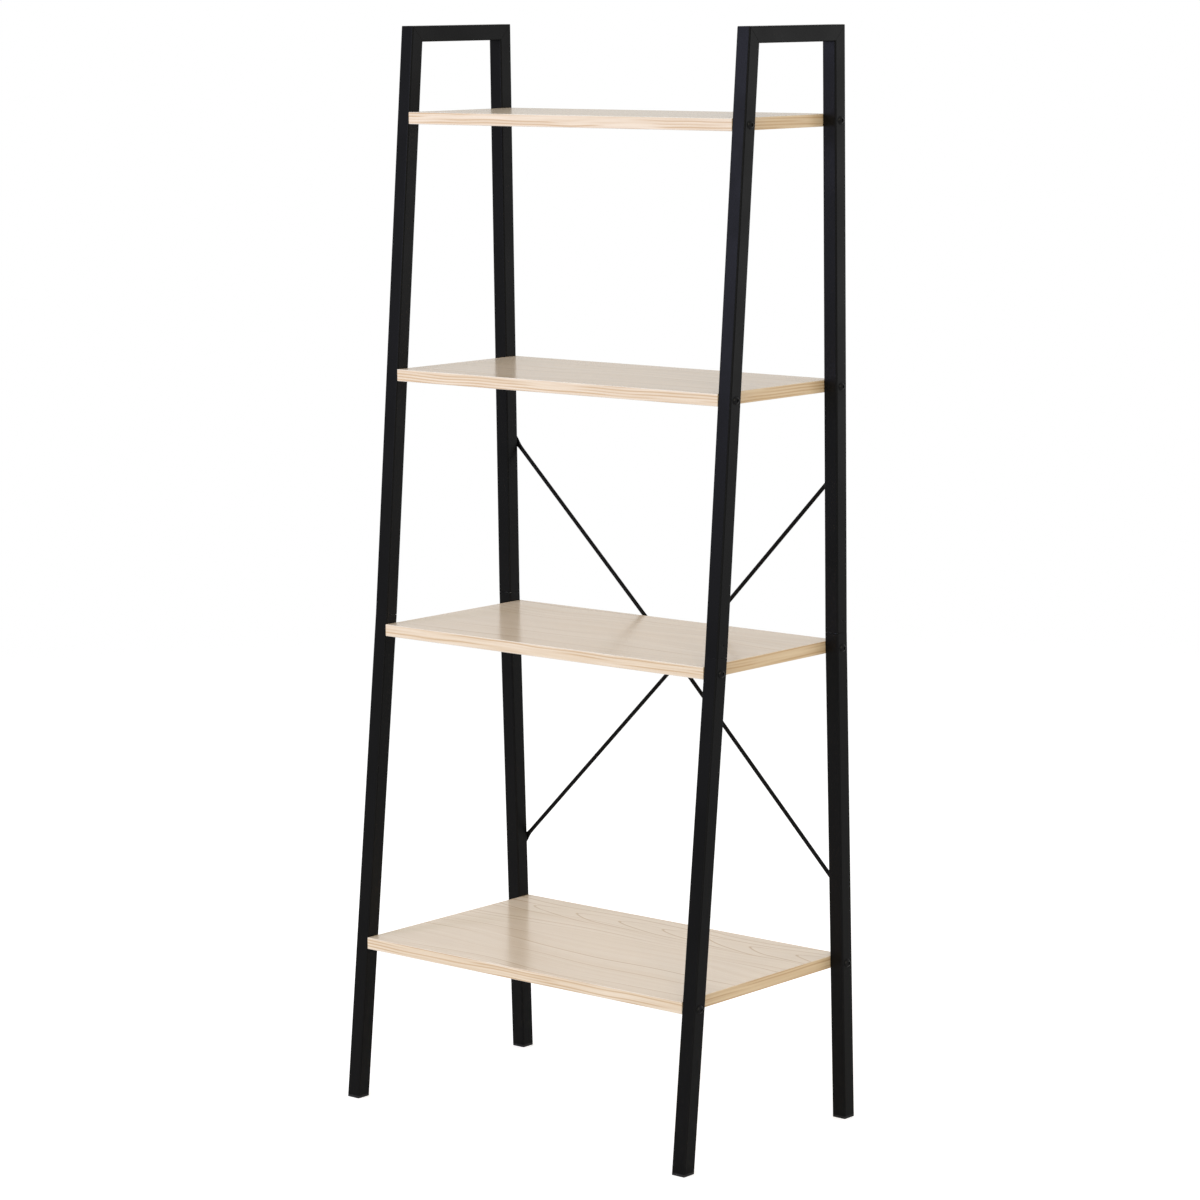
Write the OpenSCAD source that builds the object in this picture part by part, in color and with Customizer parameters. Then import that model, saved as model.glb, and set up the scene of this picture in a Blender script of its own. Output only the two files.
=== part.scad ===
// Four-tier ladder shelf: two welded steel side frames, four boards that get deeper
// towards the floor, and a crossed rod brace across the back.
// Millimetres, +Z up, front towards -Y, origin on the floor in the middle of the footprint.

/* [Overall size] */
// Width over the outer faces of the side frames
frame_w = 560; // [420:5:800]
// Height from the floor to the top of the side frames
frame_h = 1360; // [1300:5:1500]
// Depth of a side frame at the floor
foot_depth = 338; // [320:1:400]

/* [Side frames] */
// Outside width of the square steel tube
tube = 20; // [18:1:22]
// Wall thickness of the tube
tube_wall = 1.2; // [1:0.1:1.6]
// Outside corner radius of the tube
tube_r = 2; // [1.7:0.1:3]
// Height of the joint between the upper and the lower legs
joint_z = 620; // [616:1:660]
// Depth of a side frame at that joint
joint_depth = 255; // [240:1:280]
// Depth of a side frame at its top
top_depth = 184; // [150:1:210]
// How far the back face at the joint stands in front of the back face at the floor
joint_setback = 16.6; // [5:0.1:30]
// How far the back face at the top stands in front of the back face at the floor
top_setback = 22.7; // [16:0.1:40]
// Length of the sleeve inside each leg joint
sleeve_len = 80; // [60:5:120]
// Thickness of the rim of a foot plug under the tube
foot_rim = 3; // [2:0.5:6]

/* [Shelves] */
// Height of the top face of each board, from the bottom tier to the top tier
tier_z = [208, 608, 931, 1253];
// Thickness of a board
board_t = 15; // [12:1:18]
// Thickness of the edge bands
band_t = 1; // [0.8:0.1:2]
// Radius that eases the long corners of the front and back bands
band_r = 0.8; // [0.2:0.1:0.8]

/* [Fasteners] */
// Diameter of the shelf screws
screw_d = 6; // [5:1:6]
// Length of a shelf screw under its head
screw_len = 35; // [30:1:45]
// Length of the threaded insert in the end of a board
insert_len = 13; // [10:1:15]
// Diameter of the brace screws
brace_screw_d = 5; // [4:1:5]

/* [Brace] */
// Diameter of the brace rods
rod_d = 5; // [4:0.5:6]
// Height of the upper screws of the brace
brace_top_z = 824; // [760:1:880]
// Height of the lower screws of the brace
brace_low_z = 281; // [240:1:340]
// Thickness of the flattened ends and middle of a rod
flat_t = 2.4; // [2:0.1:3]
// Width of the flattened ends of a rod
flat_w = 11; // [10:0.5:14]

/* [Hidden] */
SIDES = ["left", "right"];
ENDS = ["front", "rear"];
TIERS = ["bottom", "lower", "upper", "top"];
SHELF_PIECES = ["board", "front_band", "rear_band", "left_band", "right_band", "screws", "inserts"];
LEG_PIECES = ["upper_leg", "lower_leg", "joint_sleeve", "foot"];

FRONT = 0;
REAR = 1;
LAST_TIER = len(TIERS) - 1;

steel_black = "#28282b";
zinc = "#b9bcc0";
plastic_black = "#1c1c1e";
board_oak = "#dccfbb";
band_oak = "#eaddc8";

fine = 48;
eps = 0.01;

leg_x = (frame_w - tube) / 2;
shelf_len = frame_w - 2 * tube;
inner_w = tube - 2 * tube_wall;
inner_r = max(tube_r - tube_wall, 0.4);

// How far the outer face of a leg lies from the middle plane, at the floor, the joint and the top
rear_out = [foot_depth / 2, foot_depth / 2 - joint_setback, foot_depth / 2 - top_setback];
front_out = [foot_depth / 2, joint_depth - rear_out[1], top_depth - rear_out[2]];
outs = [front_out, rear_out];

function slope_above(end) = (outs[end][1] - outs[end][2]) / (frame_h - joint_z);
function slope_below(end) = (outs[end][0] - outs[end][1]) / joint_z;
function slope(end, z) = z < joint_z ? slope_below(end) : slope_above(end);
// Distance of the outer face from the middle plane at height z
function out_at(end, z) = outs[end][1] - (z - joint_z) * slope(end, z);
// Angle by which a leg leans inwards as it rises
function lean(end, z) = atan(slope(end, z));
// Distance of the middle of the tube from the middle plane at height z
function mid_at(end, z) = out_at(end, z) - tube / 2 / cos(lean(end, z));
function tier_mid(tier) = tier_z[tier] - board_t / 2;

sleeve_gap = 0.4;
sleeve_w = inner_w - 2 * sleeve_gap;
sleeve_wall = 1.2;
sleeve_r = 0.6;
plug_gap = 0.1;
plug_len = 22;
dimple_up = 15;
dimple_ball = 3;
dimple_depth = 0.6;

screw_hole_d = screw_d + 0.5;
screw_head_d = 1.75 * screw_d;
screw_head_h = 0.55 * screw_d;
screw_socket = 4;
insert_d = 9;
fit_gap = 0.05;
insert_hole_len = screw_len - tube + 2;

brace_head_d = 1.9 * brace_screw_d;
brace_head_h = 0.55 * brace_screw_d;
brace_socket = 3;
brace_shank_len = 12;
nut_flange_t = 0.8;
nut_flange_d = 10;
nut_body_d = 7;
nut_body_len = 11;
flat_off = nut_flange_t + flat_t / 2;
flat_len = 16;
flat_blend = 10;
middle_half = 9;
middle_w = 9;
neck_w = 7;
rivet_d = 5;
rivet_head_d = 9;
rivet_head_h = 1.6;
brace_mid_y = foot_depth / 2 - flat_t - rivet_head_h;
brace_mid_z = (brace_top_z + brace_low_z) / 2;

// A square with rounded corners, centred
module round_square(width, r) {
    square([width, width - 2 * r], center = true);
    square([width - 2 * r, width], center = true);
    for (x = [-1, 1], y = [-1, 1])
        translate([x * (width / 2 - r), y * (width / 2 - r)])
            circle(r = r, $fn = fine);
}

// Drawn for the front, and turned over for the rear
module at_end(end) {
    mirror([0, end, 0]) children();
}

// Local Z runs up a leg from height z on its outer face, local +Y points into the frame
module on_leg(side_x, end, z, leaning) {
    translate([side_x, -out_at(end, z), z])
        rotate([-leaning, 0, 0])
            children();
}

// A length of tube, or of a solid bar, with one face in the local XZ plane
module tube_run(length, width, r, hollow) {
    translate([0, tube / 2, 0])
        linear_extrude(length)
            difference() {
                round_square(width, r);
                if (hollow) round_square(width - 2 * tube_wall, inner_r);
            }
}

// A rod along X, centred on the origin
module x_rod(d, length) {
    rotate([0, 90, 0]) cylinder(d = d, h = length, center = true, $fn = fine);
}

// The half space on the bar's side (keep = 1) or the leg's side (keep = -1) of a top mitre
module mitre_block(end, keep) {
    size = 4 * tube;
    translate([0, -outs[end][2], frame_h])
        rotate([-45 - lean(end, frame_h) / 2, 0, 0])
            translate([0, 0, keep * size / 2])
                cube([size, 4 * size, size], center = true);
}

// The clearance holes that the shelf screws need through a leg
module shelf_screw_holes(side_x, end, tiers) {
    for (tier = tiers)
        translate([side_x, -mid_at(end, tier_mid(tier)), tier_mid(tier)])
            x_rod(screw_hole_d, 2 * tube);
}

// The hole in the back wall of a rear leg for the brace nut at height z
module brace_nut_hole(side_x, z) {
    on_leg(side_x, REAR, z, lean(REAR, z))
        rotate([-90, 0, 0])
            translate([0, 0, -tube_wall])
                cylinder(d = nut_body_d + 2 * fit_gap, h = 3 * tube_wall, $fn = fine);
}

// A shallow round dent left where the outer wall was punched onto the sleeve
module dimple(side_x, end) {
    outward = sign(side_x);
    on_leg(side_x, end, joint_z, lean(end, frame_h))
        translate([outward * (tube / 2 + dimple_ball - dimple_depth), tube / 2, dimple_up])
            sphere(r = dimple_ball, $fn = fine);
}

// Upper leg: square cut at the joint, mitred to the top bar
module upper_leg(side_x, end) {
    leaning = lean(end, frame_h);
    color(steel_black)
        at_end(end)
            difference() {
                on_leg(side_x, end, joint_z, leaning)
                    tube_run((frame_h - joint_z) / cos(leaning) + tube, tube, tube_r, true);
                translate([side_x, 0, 0]) mitre_block(end, 1);
                shelf_screw_holes(side_x, end, [2 : LAST_TIER]);
                dimple(side_x, end);
                if (end == REAR) brace_nut_hole(side_x, brace_top_z);
            }
}

// Lower leg: square cut at the joint, cut level on top of the foot plug
module lower_leg(side_x, end) {
    leaning = lean(end, 0);
    length = joint_z / cos(leaning) + tube;
    color(steel_black)
        at_end(end)
            difference() {
                on_leg(side_x, end, joint_z, leaning)
                    translate([0, 0, -length])
                        tube_run(length, tube, tube_r, true);
                translate([side_x - frame_w, -frame_h, foot_rim - frame_h])
                    cube([2 * frame_w, 2 * frame_h, frame_h]);
                shelf_screw_holes(side_x, end, [0 : 1]);
                if (end == REAR) brace_nut_hole(side_x, brace_low_z);
            }
}

// Sleeve inside the joint, along the line halfway between the two legs' slopes
module joint_sleeve(side_x, end) {
    leaning = (lean(end, 0) + lean(end, frame_h)) / 2;
    color(zinc)
        at_end(end)
            difference() {
                on_leg(side_x, end, joint_z, leaning)
                    translate([0, tube / 2, -sleeve_len / 2])
                        linear_extrude(sleeve_len)
                            difference() {
                                round_square(sleeve_w, sleeve_r);
                                square(sleeve_w - 2 * sleeve_wall, center = true);
                            }
                shelf_screw_holes(side_x, end, [1]);
            }
}

// Plastic plug: a rim that stands on the floor, and a stem up inside the tube
module foot(side_x, end) {
    leaning = lean(end, 0);
    stem_w = inner_w - 2 * plug_gap;
    color(plastic_black)
        at_end(end)
            union() {
                intersection() {
                    on_leg(side_x, end, 0, leaning)
                        translate([0, 0, -tube])
                            tube_run(3 * tube, tube, tube_r, false);
                    translate([side_x, 0, foot_rim / 2])
                        cube([2 * tube, 2 * foot_depth, foot_rim], center = true);
                }
                difference() {
                    on_leg(side_x, end, 0, leaning)
                        tube_run(plug_len + foot_rim, stem_w, inner_r, false);
                    translate([side_x, 0, foot_rim / 2 - tube])
                        cube([2 * tube, 2 * foot_depth, 2 * tube], center = true);
                }
            }
}

// Top bar of a side frame, mitred at both ends
module top_bar(side_x) {
    color(steel_black)
        difference() {
            translate([side_x, rear_out[2], frame_h])
                rotate([90, 0, 0])
                    translate([0, -tube, 0])
                        tube_run(top_depth, tube, tube_r, true);
            for (end = [FRONT, REAR])
                at_end(end)
                    translate([side_x, 0, 0]) mitre_block(end, -1);
        }
}

// The holes in the ends of a board for its four threaded inserts
module insert_holes(tier) {
    for (side = [-1, 1], end = [FRONT, REAR])
        at_end(end)
            translate([side * shelf_len / 2, -mid_at(end, tier_mid(tier)), tier_mid(tier)])
                x_rod(insert_d + 2 * fit_gap, 2 * insert_hole_len);
}

// Particle board with its decor faces, without the edge bands
module shelf_board(tier) {
    front = -out_at(FRONT, tier_mid(tier)) + band_t;
    back = out_at(REAR, tier_mid(tier)) - band_t;
    color(board_oak)
        difference() {
            translate([-shelf_len / 2 + band_t, front, tier_z[tier] - board_t])
                cube([shelf_len - 2 * band_t, back - front, board_t]);
            insert_holes(tier);
        }
}

// Section of a long band: flat against the board, eased outside. Local +X points into the board
module band_section() {
    difference() {
        square([band_t, board_t]);
        square(band_r);
        translate([0, board_t - band_r]) square(band_r);
    }
    intersection() {
        square([band_t, board_t]);
        for (y = [band_r, board_t - band_r])
            translate([band_r, y]) circle(r = band_r, $fn = fine);
    }
}

// Band along the front or the back edge, over the ends of the short bands
module long_band(tier, end) {
    color(band_oak)
        at_end(end)
            translate([-shelf_len / 2, -out_at(end, tier_mid(tier)), tier_z[tier] - board_t])
                rotate([90, 0, 90])
                    linear_extrude(shelf_len)
                        band_section();
}

// Band on the left (side = -1) or the right (side = 1) end of a board
module short_band(tier, side) {
    front = -out_at(FRONT, tier_mid(tier)) + band_t;
    back = out_at(REAR, tier_mid(tier)) - band_t;
    low_x = side < 0 ? -shelf_len / 2 : shelf_len / 2 - band_t;
    color(band_oak)
        difference() {
            translate([low_x, front, tier_z[tier] - board_t])
                cube([band_t, back - front, board_t]);
            insert_holes(tier);
        }
}

// Round-head screw with a hexagon socket, along local Z, head upwards from the origin
module round_head_screw(d, length, head_d, head_h, socket) {
    dome_r = (head_d * head_d / 4 + head_h * head_h) / (2 * head_h);
    socket_depth = 0.6 * head_h;
    translate([0, 0, -length]) cylinder(d = d, h = length + eps, $fn = fine);
    difference() {
        intersection() {
            cylinder(d = head_d, h = head_h, $fn = fine);
            translate([0, 0, head_h - dome_r]) sphere(r = dome_r, $fn = 2 * fine);
        }
        translate([0, 0, head_h - socket_depth])
            cylinder(d = socket / cos(30), h = head_h, $fn = 6);
    }
}

// The four screws that hold one board between the legs
module shelf_screws(tier) {
    color(steel_black)
        for (side = [-1, 1], end = [FRONT, REAR])
            at_end(end)
                translate([side * frame_w / 2, -mid_at(end, tier_mid(tier)), tier_mid(tier)])
                    rotate([0, side * 90, 0])
                        round_head_screw(screw_d, screw_len, screw_head_d, screw_head_h, screw_socket);
}

// The four threaded inserts in the ends of one board
module shelf_inserts(tier) {
    color(zinc)
        for (side = [-1, 1], end = [FRONT, REAR])
            at_end(end)
                translate([side * (shelf_len - insert_len) / 2, -mid_at(end, tier_mid(tier)), tier_mid(tier)])
                    difference() {
                        x_rod(insert_d, insert_len);
                        x_rod(screw_d + 2 * fit_gap, insert_len + 1);
                    }
}

// Local +Y points straight out of the back face of a rear leg at height z
module on_back_face(side, z) {
    translate([side * leg_x, out_at(REAR, z), z])
        rotate([lean(REAR, z), 0, 0])
            children();
}

// Where a point given on the back face of a rear leg lies in the shelf's own frame
function from_back_face(side, z, p) = [
    side * leg_x + p[0],
    out_at(REAR, z) + p[1] * cos(lean(REAR, z)) - p[2] * sin(lean(REAR, z)),
    z + p[1] * sin(lean(REAR, z)) + p[2] * cos(lean(REAR, z))
];

// The slant, in the XZ plane, of a rod that starts at the given side and height
function rod_slant(side, z) = atan2(brace_mid_z - z, -side * leg_x);
// Where the flat end of a rod stops and its round part begins to form
function flat_stop(side, z) = from_back_face(side, z, [
    flat_len * cos(rod_slant(side, z)), flat_off, flat_len * sin(rod_slant(side, z))
]);
// Where the flat middle of a rod stops, on the way to the given side and height
function middle_stop(side, z, y) = [
    -middle_half * cos(rod_slant(side, z)), y, brace_mid_z - middle_half * sin(rod_slant(side, z))
];
function along(a, b, distance) = a + (b - a) * distance / norm(b - a);

// Turns local Z to the direction from a to b, starting at a
module aim(a, b) {
    v = b - a;
    translate(a)
        rotate([0, acos(v[2] / norm(v)), atan2(v[1], v[0])])
            children();
}

// A round rod from a to b that tapers at both ends to the thickness of the flats
module tapered_rod(a, b) {
    length = norm(b - a);
    aim(a, b)
        rotate_extrude($fn = fine)
            polygon([
                [0, 0],
                [flat_t / 2, 0],
                [rod_d / 2, flat_blend],
                [rod_d / 2, length - flat_blend],
                [flat_t / 2, length],
                [0, length]
            ]);
}

// One half of a rod: the flat end on its leg, and the round part up to the flat middle
module rod_half(side, z, mid_y) {
    slant = rod_slant(side, z);
    neck_len = flat_len + flat_blend / 2;
    difference() {
        on_back_face(side, z)
            translate([0, flat_off, 0])
                rotate([0, -slant, 0]) {
                    rotate([90, 0, 0]) cylinder(d = flat_w, h = flat_t, center = true, $fn = fine);
                    translate([flat_len / 2, 0, 0]) cube([flat_len, flat_t, flat_w], center = true);
                    translate([neck_len / 2, 0, 0]) cube([neck_len, flat_t, neck_w], center = true);
                }
        on_back_face(side, z)
            rotate([90, 0, 0])
                cylinder(d = brace_screw_d + 0.4, h = 4 * flat_off, center = true, $fn = fine);
    }
    tapered_rod(flat_stop(side, z), middle_stop(side, z, mid_y));
}

// A rod that falls from the upper screw on one side to the lower screw on the other
module brace_rod(top_side, mid_y) {
    slant = rod_slant(top_side, brace_top_z);
    color(steel_black) {
        rod_half(top_side, brace_top_z, mid_y);
        rod_half(-top_side, brace_low_z, mid_y);
        translate([0, mid_y, brace_mid_z])
            difference() {
                rotate([0, -slant, 0]) {
                    cube([2 * middle_half, flat_t, middle_w], center = true);
                    cube([2 * middle_half + flat_blend, flat_t, neck_w], center = true);
                }
                rotate([90, 0, 0])
                    cylinder(d = rivet_d + 2 * fit_gap, h = 2 * flat_t, center = true, $fn = fine);
            }
    }
}

// Rivet through the flat middles of both rods
module brace_rivet() {
    dome_r = (rivet_head_d * rivet_head_d / 4 + rivet_head_h * rivet_head_h) / (2 * rivet_head_h);
    color(steel_black)
        translate([0, brace_mid_y, brace_mid_z])
            rotate([90, 0, 0]) {
                cylinder(d = rivet_d, h = 2 * flat_t + eps, center = true, $fn = fine);
                for (way = [0, 1])
                    mirror([0, 0, way])
                        translate([0, 0, flat_t])
                            intersection() {
                                cylinder(d = rivet_head_d, h = rivet_head_h, $fn = fine);
                                translate([0, 0, rivet_head_h - dome_r])
                                    sphere(r = dome_r, $fn = 2 * fine);
                            }
            }
}

// The four screws through the flat ends of the rods
module brace_screws() {
    color(steel_black)
        for (side = [-1, 1], z = [brace_low_z, brace_top_z])
            on_back_face(side, z)
                translate([0, nut_flange_t + flat_t, 0])
                    rotate([-90, 0, 0])
                        round_head_screw(
                            brace_screw_d, brace_shank_len, brace_head_d, brace_head_h, brace_socket
                        );
}

// The four rivet nuts in the back walls of the rear legs
module brace_nuts() {
    color(zinc)
        for (side = [-1, 1], z = [brace_low_z, brace_top_z])
            on_back_face(side, z)
                rotate([-90, 0, 0])
                    difference() {
                        union() {
                            cylinder(d = nut_flange_d, h = nut_flange_t, $fn = fine);
                            translate([0, 0, -nut_body_len])
                                cylinder(d = nut_body_d, h = nut_body_len + eps, $fn = fine);
                        }
                        cylinder(d = brace_screw_d + 2 * fit_gap, h = 3 * nut_body_len, center = true, $fn = fine);
                    }
}

for (s = [0, 1]) {
    side_x = (2 * s - 1) * leg_x;
    for (end = [FRONT, REAR]) {
        leg = str(SIDES[s], "_", ENDS[end], "_");
        upper_leg(side_x, end);
        lower_leg(side_x, end);
        joint_sleeve(side_x, end);
        foot(side_x, end);
    }
    top_bar(side_x);
}
for (tier = [0 : LAST_TIER]) {
    shelf = str(TIERS[tier], "_shelf_");
    shelf_board(tier);
    long_band(tier, FRONT);
    long_band(tier, REAR);
    short_band(tier, -1);
    short_band(tier, 1);
    shelf_screws(tier);
    shelf_inserts(tier);
}
brace_rod(-1, brace_mid_y - flat_t / 2);  // brace_rod_inner
brace_rod(1, brace_mid_y + flat_t / 2);  // brace_rod_outer
brace_rivet();
brace_screws();
brace_nuts();
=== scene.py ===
"""Looks of a four-tier ladder shelf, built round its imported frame.

Square steel tubes with a black powder coat, boards with an oak decor and edge bands,
round-head socket screws and a crossed rod brace. Metres, +Z up, front towards -Y.
"""

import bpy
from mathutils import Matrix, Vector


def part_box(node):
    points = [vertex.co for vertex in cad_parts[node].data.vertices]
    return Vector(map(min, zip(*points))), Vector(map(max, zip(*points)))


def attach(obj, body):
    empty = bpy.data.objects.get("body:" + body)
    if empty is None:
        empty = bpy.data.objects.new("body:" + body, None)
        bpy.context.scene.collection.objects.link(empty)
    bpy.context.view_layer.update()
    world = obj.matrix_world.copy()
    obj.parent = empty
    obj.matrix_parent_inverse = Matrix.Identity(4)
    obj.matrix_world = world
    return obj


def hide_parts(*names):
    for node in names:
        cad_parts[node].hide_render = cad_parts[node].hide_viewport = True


bl_info = {
    "name": "Ladder shelf",
    "version": (1, 0, 0),
    "blender": (4, 5, 0),
    "location": "View3D > Sidebar > Ladder shelf",
    "description": "Builds the tubes, boards, bands, screws and brace of a ladder shelf with their finishes",
    "category": "Object",
}

import math
from functools import partial

import bpy
import numpy as np
from mathutils import Matrix

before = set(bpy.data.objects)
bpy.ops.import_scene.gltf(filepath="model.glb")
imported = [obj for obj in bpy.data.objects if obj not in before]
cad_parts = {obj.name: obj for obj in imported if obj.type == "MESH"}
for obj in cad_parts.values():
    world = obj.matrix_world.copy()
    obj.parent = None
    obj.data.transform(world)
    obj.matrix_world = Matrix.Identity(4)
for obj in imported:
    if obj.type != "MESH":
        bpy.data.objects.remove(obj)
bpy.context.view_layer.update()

SIDES = {"left": -1.0, "right": 1.0}
ENDS = {"front": -1.0, "rear": 1.0}
TIERS = ("bottom", "lower", "upper", "top")
ACROSS = np.array([1.0, 0.0, 0.0])
UP = np.array([0.0, 0.0, 1.0])


# ------------------------------------------------------------------ places from the frame


def corners(node):
    """Lowest and highest corner of a CAD node as two arrays."""
    low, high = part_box(node)
    return np.array(low), np.array(high)


BAR_LOW, BAR_HIGH = corners("right_top_bar")
TUBE = BAR_HIGH[2] - BAR_LOW[2]
LEG_X = (BAR_LOW[0] + BAR_HIGH[0]) / 2
TOP_Z = BAR_HIGH[2]
JOINT_Z = corners("right_front_lower_leg")[1][2]


def outer_line(end):
    """How far the outer face of the legs at one end lies from the middle plane, at the floor,
    the joint and the top, and the angles by which the lower and the upper leg lean inwards."""
    pick = 0 if end == "front" else 1
    outs = [
        abs(corners(node)[pick][1])
        for node in (f"right_{end}_foot", f"right_{end}_upper_leg", "right_top_bar")
    ]
    low = math.atan((outs[0] - outs[1]) / JOINT_Z)
    high = math.atan((outs[1] - outs[2]) / (TOP_Z - JOINT_Z))
    return outs, low, high


def leg_axes(side, end, upper):
    """Start, across, out and along of a leg: the start is the middle of the tube at the joint,
    out points away from the shelf and along runs up the tube."""
    outs, low, high = outer_line(end)
    lean = high if upper else low
    sign = ENDS[end]
    out = np.array([0.0, sign * math.cos(lean), math.sin(lean)])
    along = np.array([0.0, -sign * math.sin(lean), math.cos(lean)])
    face = np.array([SIDES[side] * LEG_X, sign * outs[1], JOINT_Z])
    return face - out * TUBE / 2, ACROSS, out, along


def mitre_plane(end):
    """Point and normal of the plane where a leg meets its top bar: through the outer top
    corner, halfway between the leg and the bar."""
    outs, _, high = outer_line(end)
    tilt = math.pi / 4 + high / 2
    sign = ENDS[end]
    point = np.array([0.0, sign * outs[2], TOP_Z])
    return point, np.array([0.0, -sign * math.sin(tilt), math.cos(tilt)])


def back_face_axes(side, height):
    """Middle of a rear leg's back face at a height, with its across, outward and upward
    directions."""
    outs, low, high = outer_line("rear")
    lean = low if height < JOINT_Z else high
    out = outs[1] - (height - JOINT_Z) * math.tan(lean)
    return (
        np.array([side * LEG_X, out, height]),
        ACROSS,
        np.array([0.0, math.cos(lean), math.sin(lean)]),
        np.array([0.0, -math.sin(lean), math.cos(lean)]),
    )


# ------------------------------------------------------------------ shapes as arrays


def unit(vectors):
    """Vectors divided by their lengths."""
    return vectors / np.linalg.norm(vectors, axis=-1, keepdims=True)


def matrix_of(x, y, z, place):
    """Four by four matrix whose columns are three axes and a place."""
    return Matrix(np.column_stack([x, y, z, place]).tolist() + [[0, 0, 0, 1]])


def smooth_step(low, high, x):
    """Rises from 0 at low to 1 at high as three times the square less twice the cube."""
    t = np.clip((x - low) / (high - low), 0, 1)
    return t * t * (3 - 2 * t)


def rounded_outline(width, height, radius, shares, corner_steps=8):
    """Outline of a rectangle with rounded corners, anticlockwise from its right side.
    A side goes through the given shares of its straight length, and a corner is a quarter
    circle, its centre plus the radius times cosine and sine. Gives the points, and for each
    the nearness to the middle of a corner, which is the sine of twice the angle turned."""
    turn = np.linspace(0, np.pi / 2, corner_steps + 1)
    signs = np.array([[1, 1], [-1, 1], [-1, -1], [1, -1]])
    centres = signs * (np.array([width, height]) / 2 - radius)
    angles = turn + np.arange(4)[:, None] * np.pi / 2
    arcs = centres[:, None] + radius * np.stack([np.cos(angles), np.sin(angles)], -1)
    parts, near = [], []
    for quarter in range(4):
        start, stop = arcs[quarter - 1][-1], arcs[quarter][0]
        parts += [start + shares[quarter][:, None] * (stop - start), arcs[quarter]]
        near += [np.zeros(len(shares[quarter])), np.sin(2 * turn)]
    return np.concatenate(parts), np.concatenate(near)


def placed(axes, outline, lengths):
    """Start plus across times u, out times v and along times the length, for each (u, v)."""
    start, across, out, along = axes
    return (
        start
        + outline[:, :1] * across
        + outline[:, 1:] * out
        + np.broadcast_to(lengths, len(outline))[:, None] * along
    )


def cut_lengths(axes, outline, plane):
    """How far along a tube each line of its outline meets a plane: the distance to the plane
    divided by the cosine between its normal and the tube."""
    point, normal = plane
    return (point - placed(axes, outline, 0.0)) @ normal / (axes[3] @ normal)


def strip_faces(rings, around, looped):
    """Four-sided faces between each ring and the next, and from the last to the first if looped."""
    i = np.arange(rings if looped else rings - 1)[:, None] * around
    j = np.arange(around)[None, :]
    k = (j + 1) % around
    above = (i + around) % (rings * around)
    return np.stack([i + j, i + k, above + k, above + j], -1).reshape(-1, 4)


def volume_of(points, faces):
    """Signed volume inside four-sided faces: a sixth of the triple products of their corners."""
    a, b, c, d = (points[faces[:, n]] for n in range(4))
    halves = [np.einsum("ij,ij->i", a, np.cross(*pair)) for pair in ((b, c), (c, d))]
    return (halves[0] + halves[1]).sum() / 6


def closed_skin(rings, looped=False):
    """Points and outward faces of a row of rings, each an equal number of points. The first
    and the last ring are closed with a flat face, unless the row is looped into a ring."""
    count, around = rings.shape[:2]
    points = rings.reshape(-1, 3)
    faces = strip_faces(count, around, looped)
    ends = [] if looped else [np.arange(around)[::-1], np.arange(around) + (count - 1) * around]
    if volume_of(points - points.mean(0), faces) < 0:
        faces, ends = faces[:, ::-1], [end[::-1] for end in ends]
    return points, faces.tolist() + [end.tolist() for end in ends]


def repeated(points, faces, places):
    """Copies of one skin at several places, each a start and three axes, in one mesh."""
    copies = [start + points @ np.array([x, y, z]) for start, x, y, z in places]
    shifts = np.arange(len(places)) * len(points)
    moved = [[corner + shift for corner in face] for shift in shifts.tolist() for face in faces]
    return np.concatenate(copies), moved


def quarter_turn(ease, steps=4):
    """How far an edge eased by a quarter circle is drawn in, and how far it has risen, at each
    step: the ease times one less sine, and times one less cosine."""
    turn = np.linspace(0, np.pi / 2, steps)
    return ease * (1 - np.sin(turn)), ease * (1 - np.cos(turn))


def tube_skin(axes, sizes, shares, low, high, stations):
    """Square tube between two planes: an eased rim, the outer skin, the other rim, the cut wall
    and the inner skin, one loop of rings. Gives the points, the faces and the edge values."""
    wall, ease = sizes.wall, sizes.ease
    bore = TUBE - 2 * wall
    inset, rise = quarter_turn(ease)
    rims = [rounded_outline(TUBE - 2 * d, TUBE - 2 * d, sizes.radius - d, shares)[0] for d in inset]
    outer, near = rounded_outline(TUBE, TUBE, sizes.radius, shares)
    inner = rounded_outline(bore, bore, max(sizes.radius - wall, wall / 3), shares)[0]
    bottom = cut_lengths(axes, outer, low) + 2 * ease
    top = cut_lengths(axes, outer, high) - 2 * ease
    marks = (0.0, *stations, 1.0)
    rings = [placed(axes, rim, cut_lengths(axes, rim, low) + h) for rim, h in zip(rims, rise)]
    rings += [placed(axes, outer, bottom + mark * (top - bottom)) for mark in marks]
    rings += [
        placed(axes, rim, cut_lengths(axes, rim, high) - h) for rim, h in zip(rims[::-1], rise[::-1])
    ]
    rings += [placed(axes, inner, cut_lengths(axes, inner, plane)) for plane in (high, low)]
    worn = np.ones((len(rims), len(near)))
    hidden = np.zeros((2, len(near)))
    edge = np.concatenate([worn, np.tile(near, (len(marks), 1)), worn, hidden])
    points, faces = closed_skin(np.array(rings), looped=True)
    return points, faces, edge.ravel()


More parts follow.
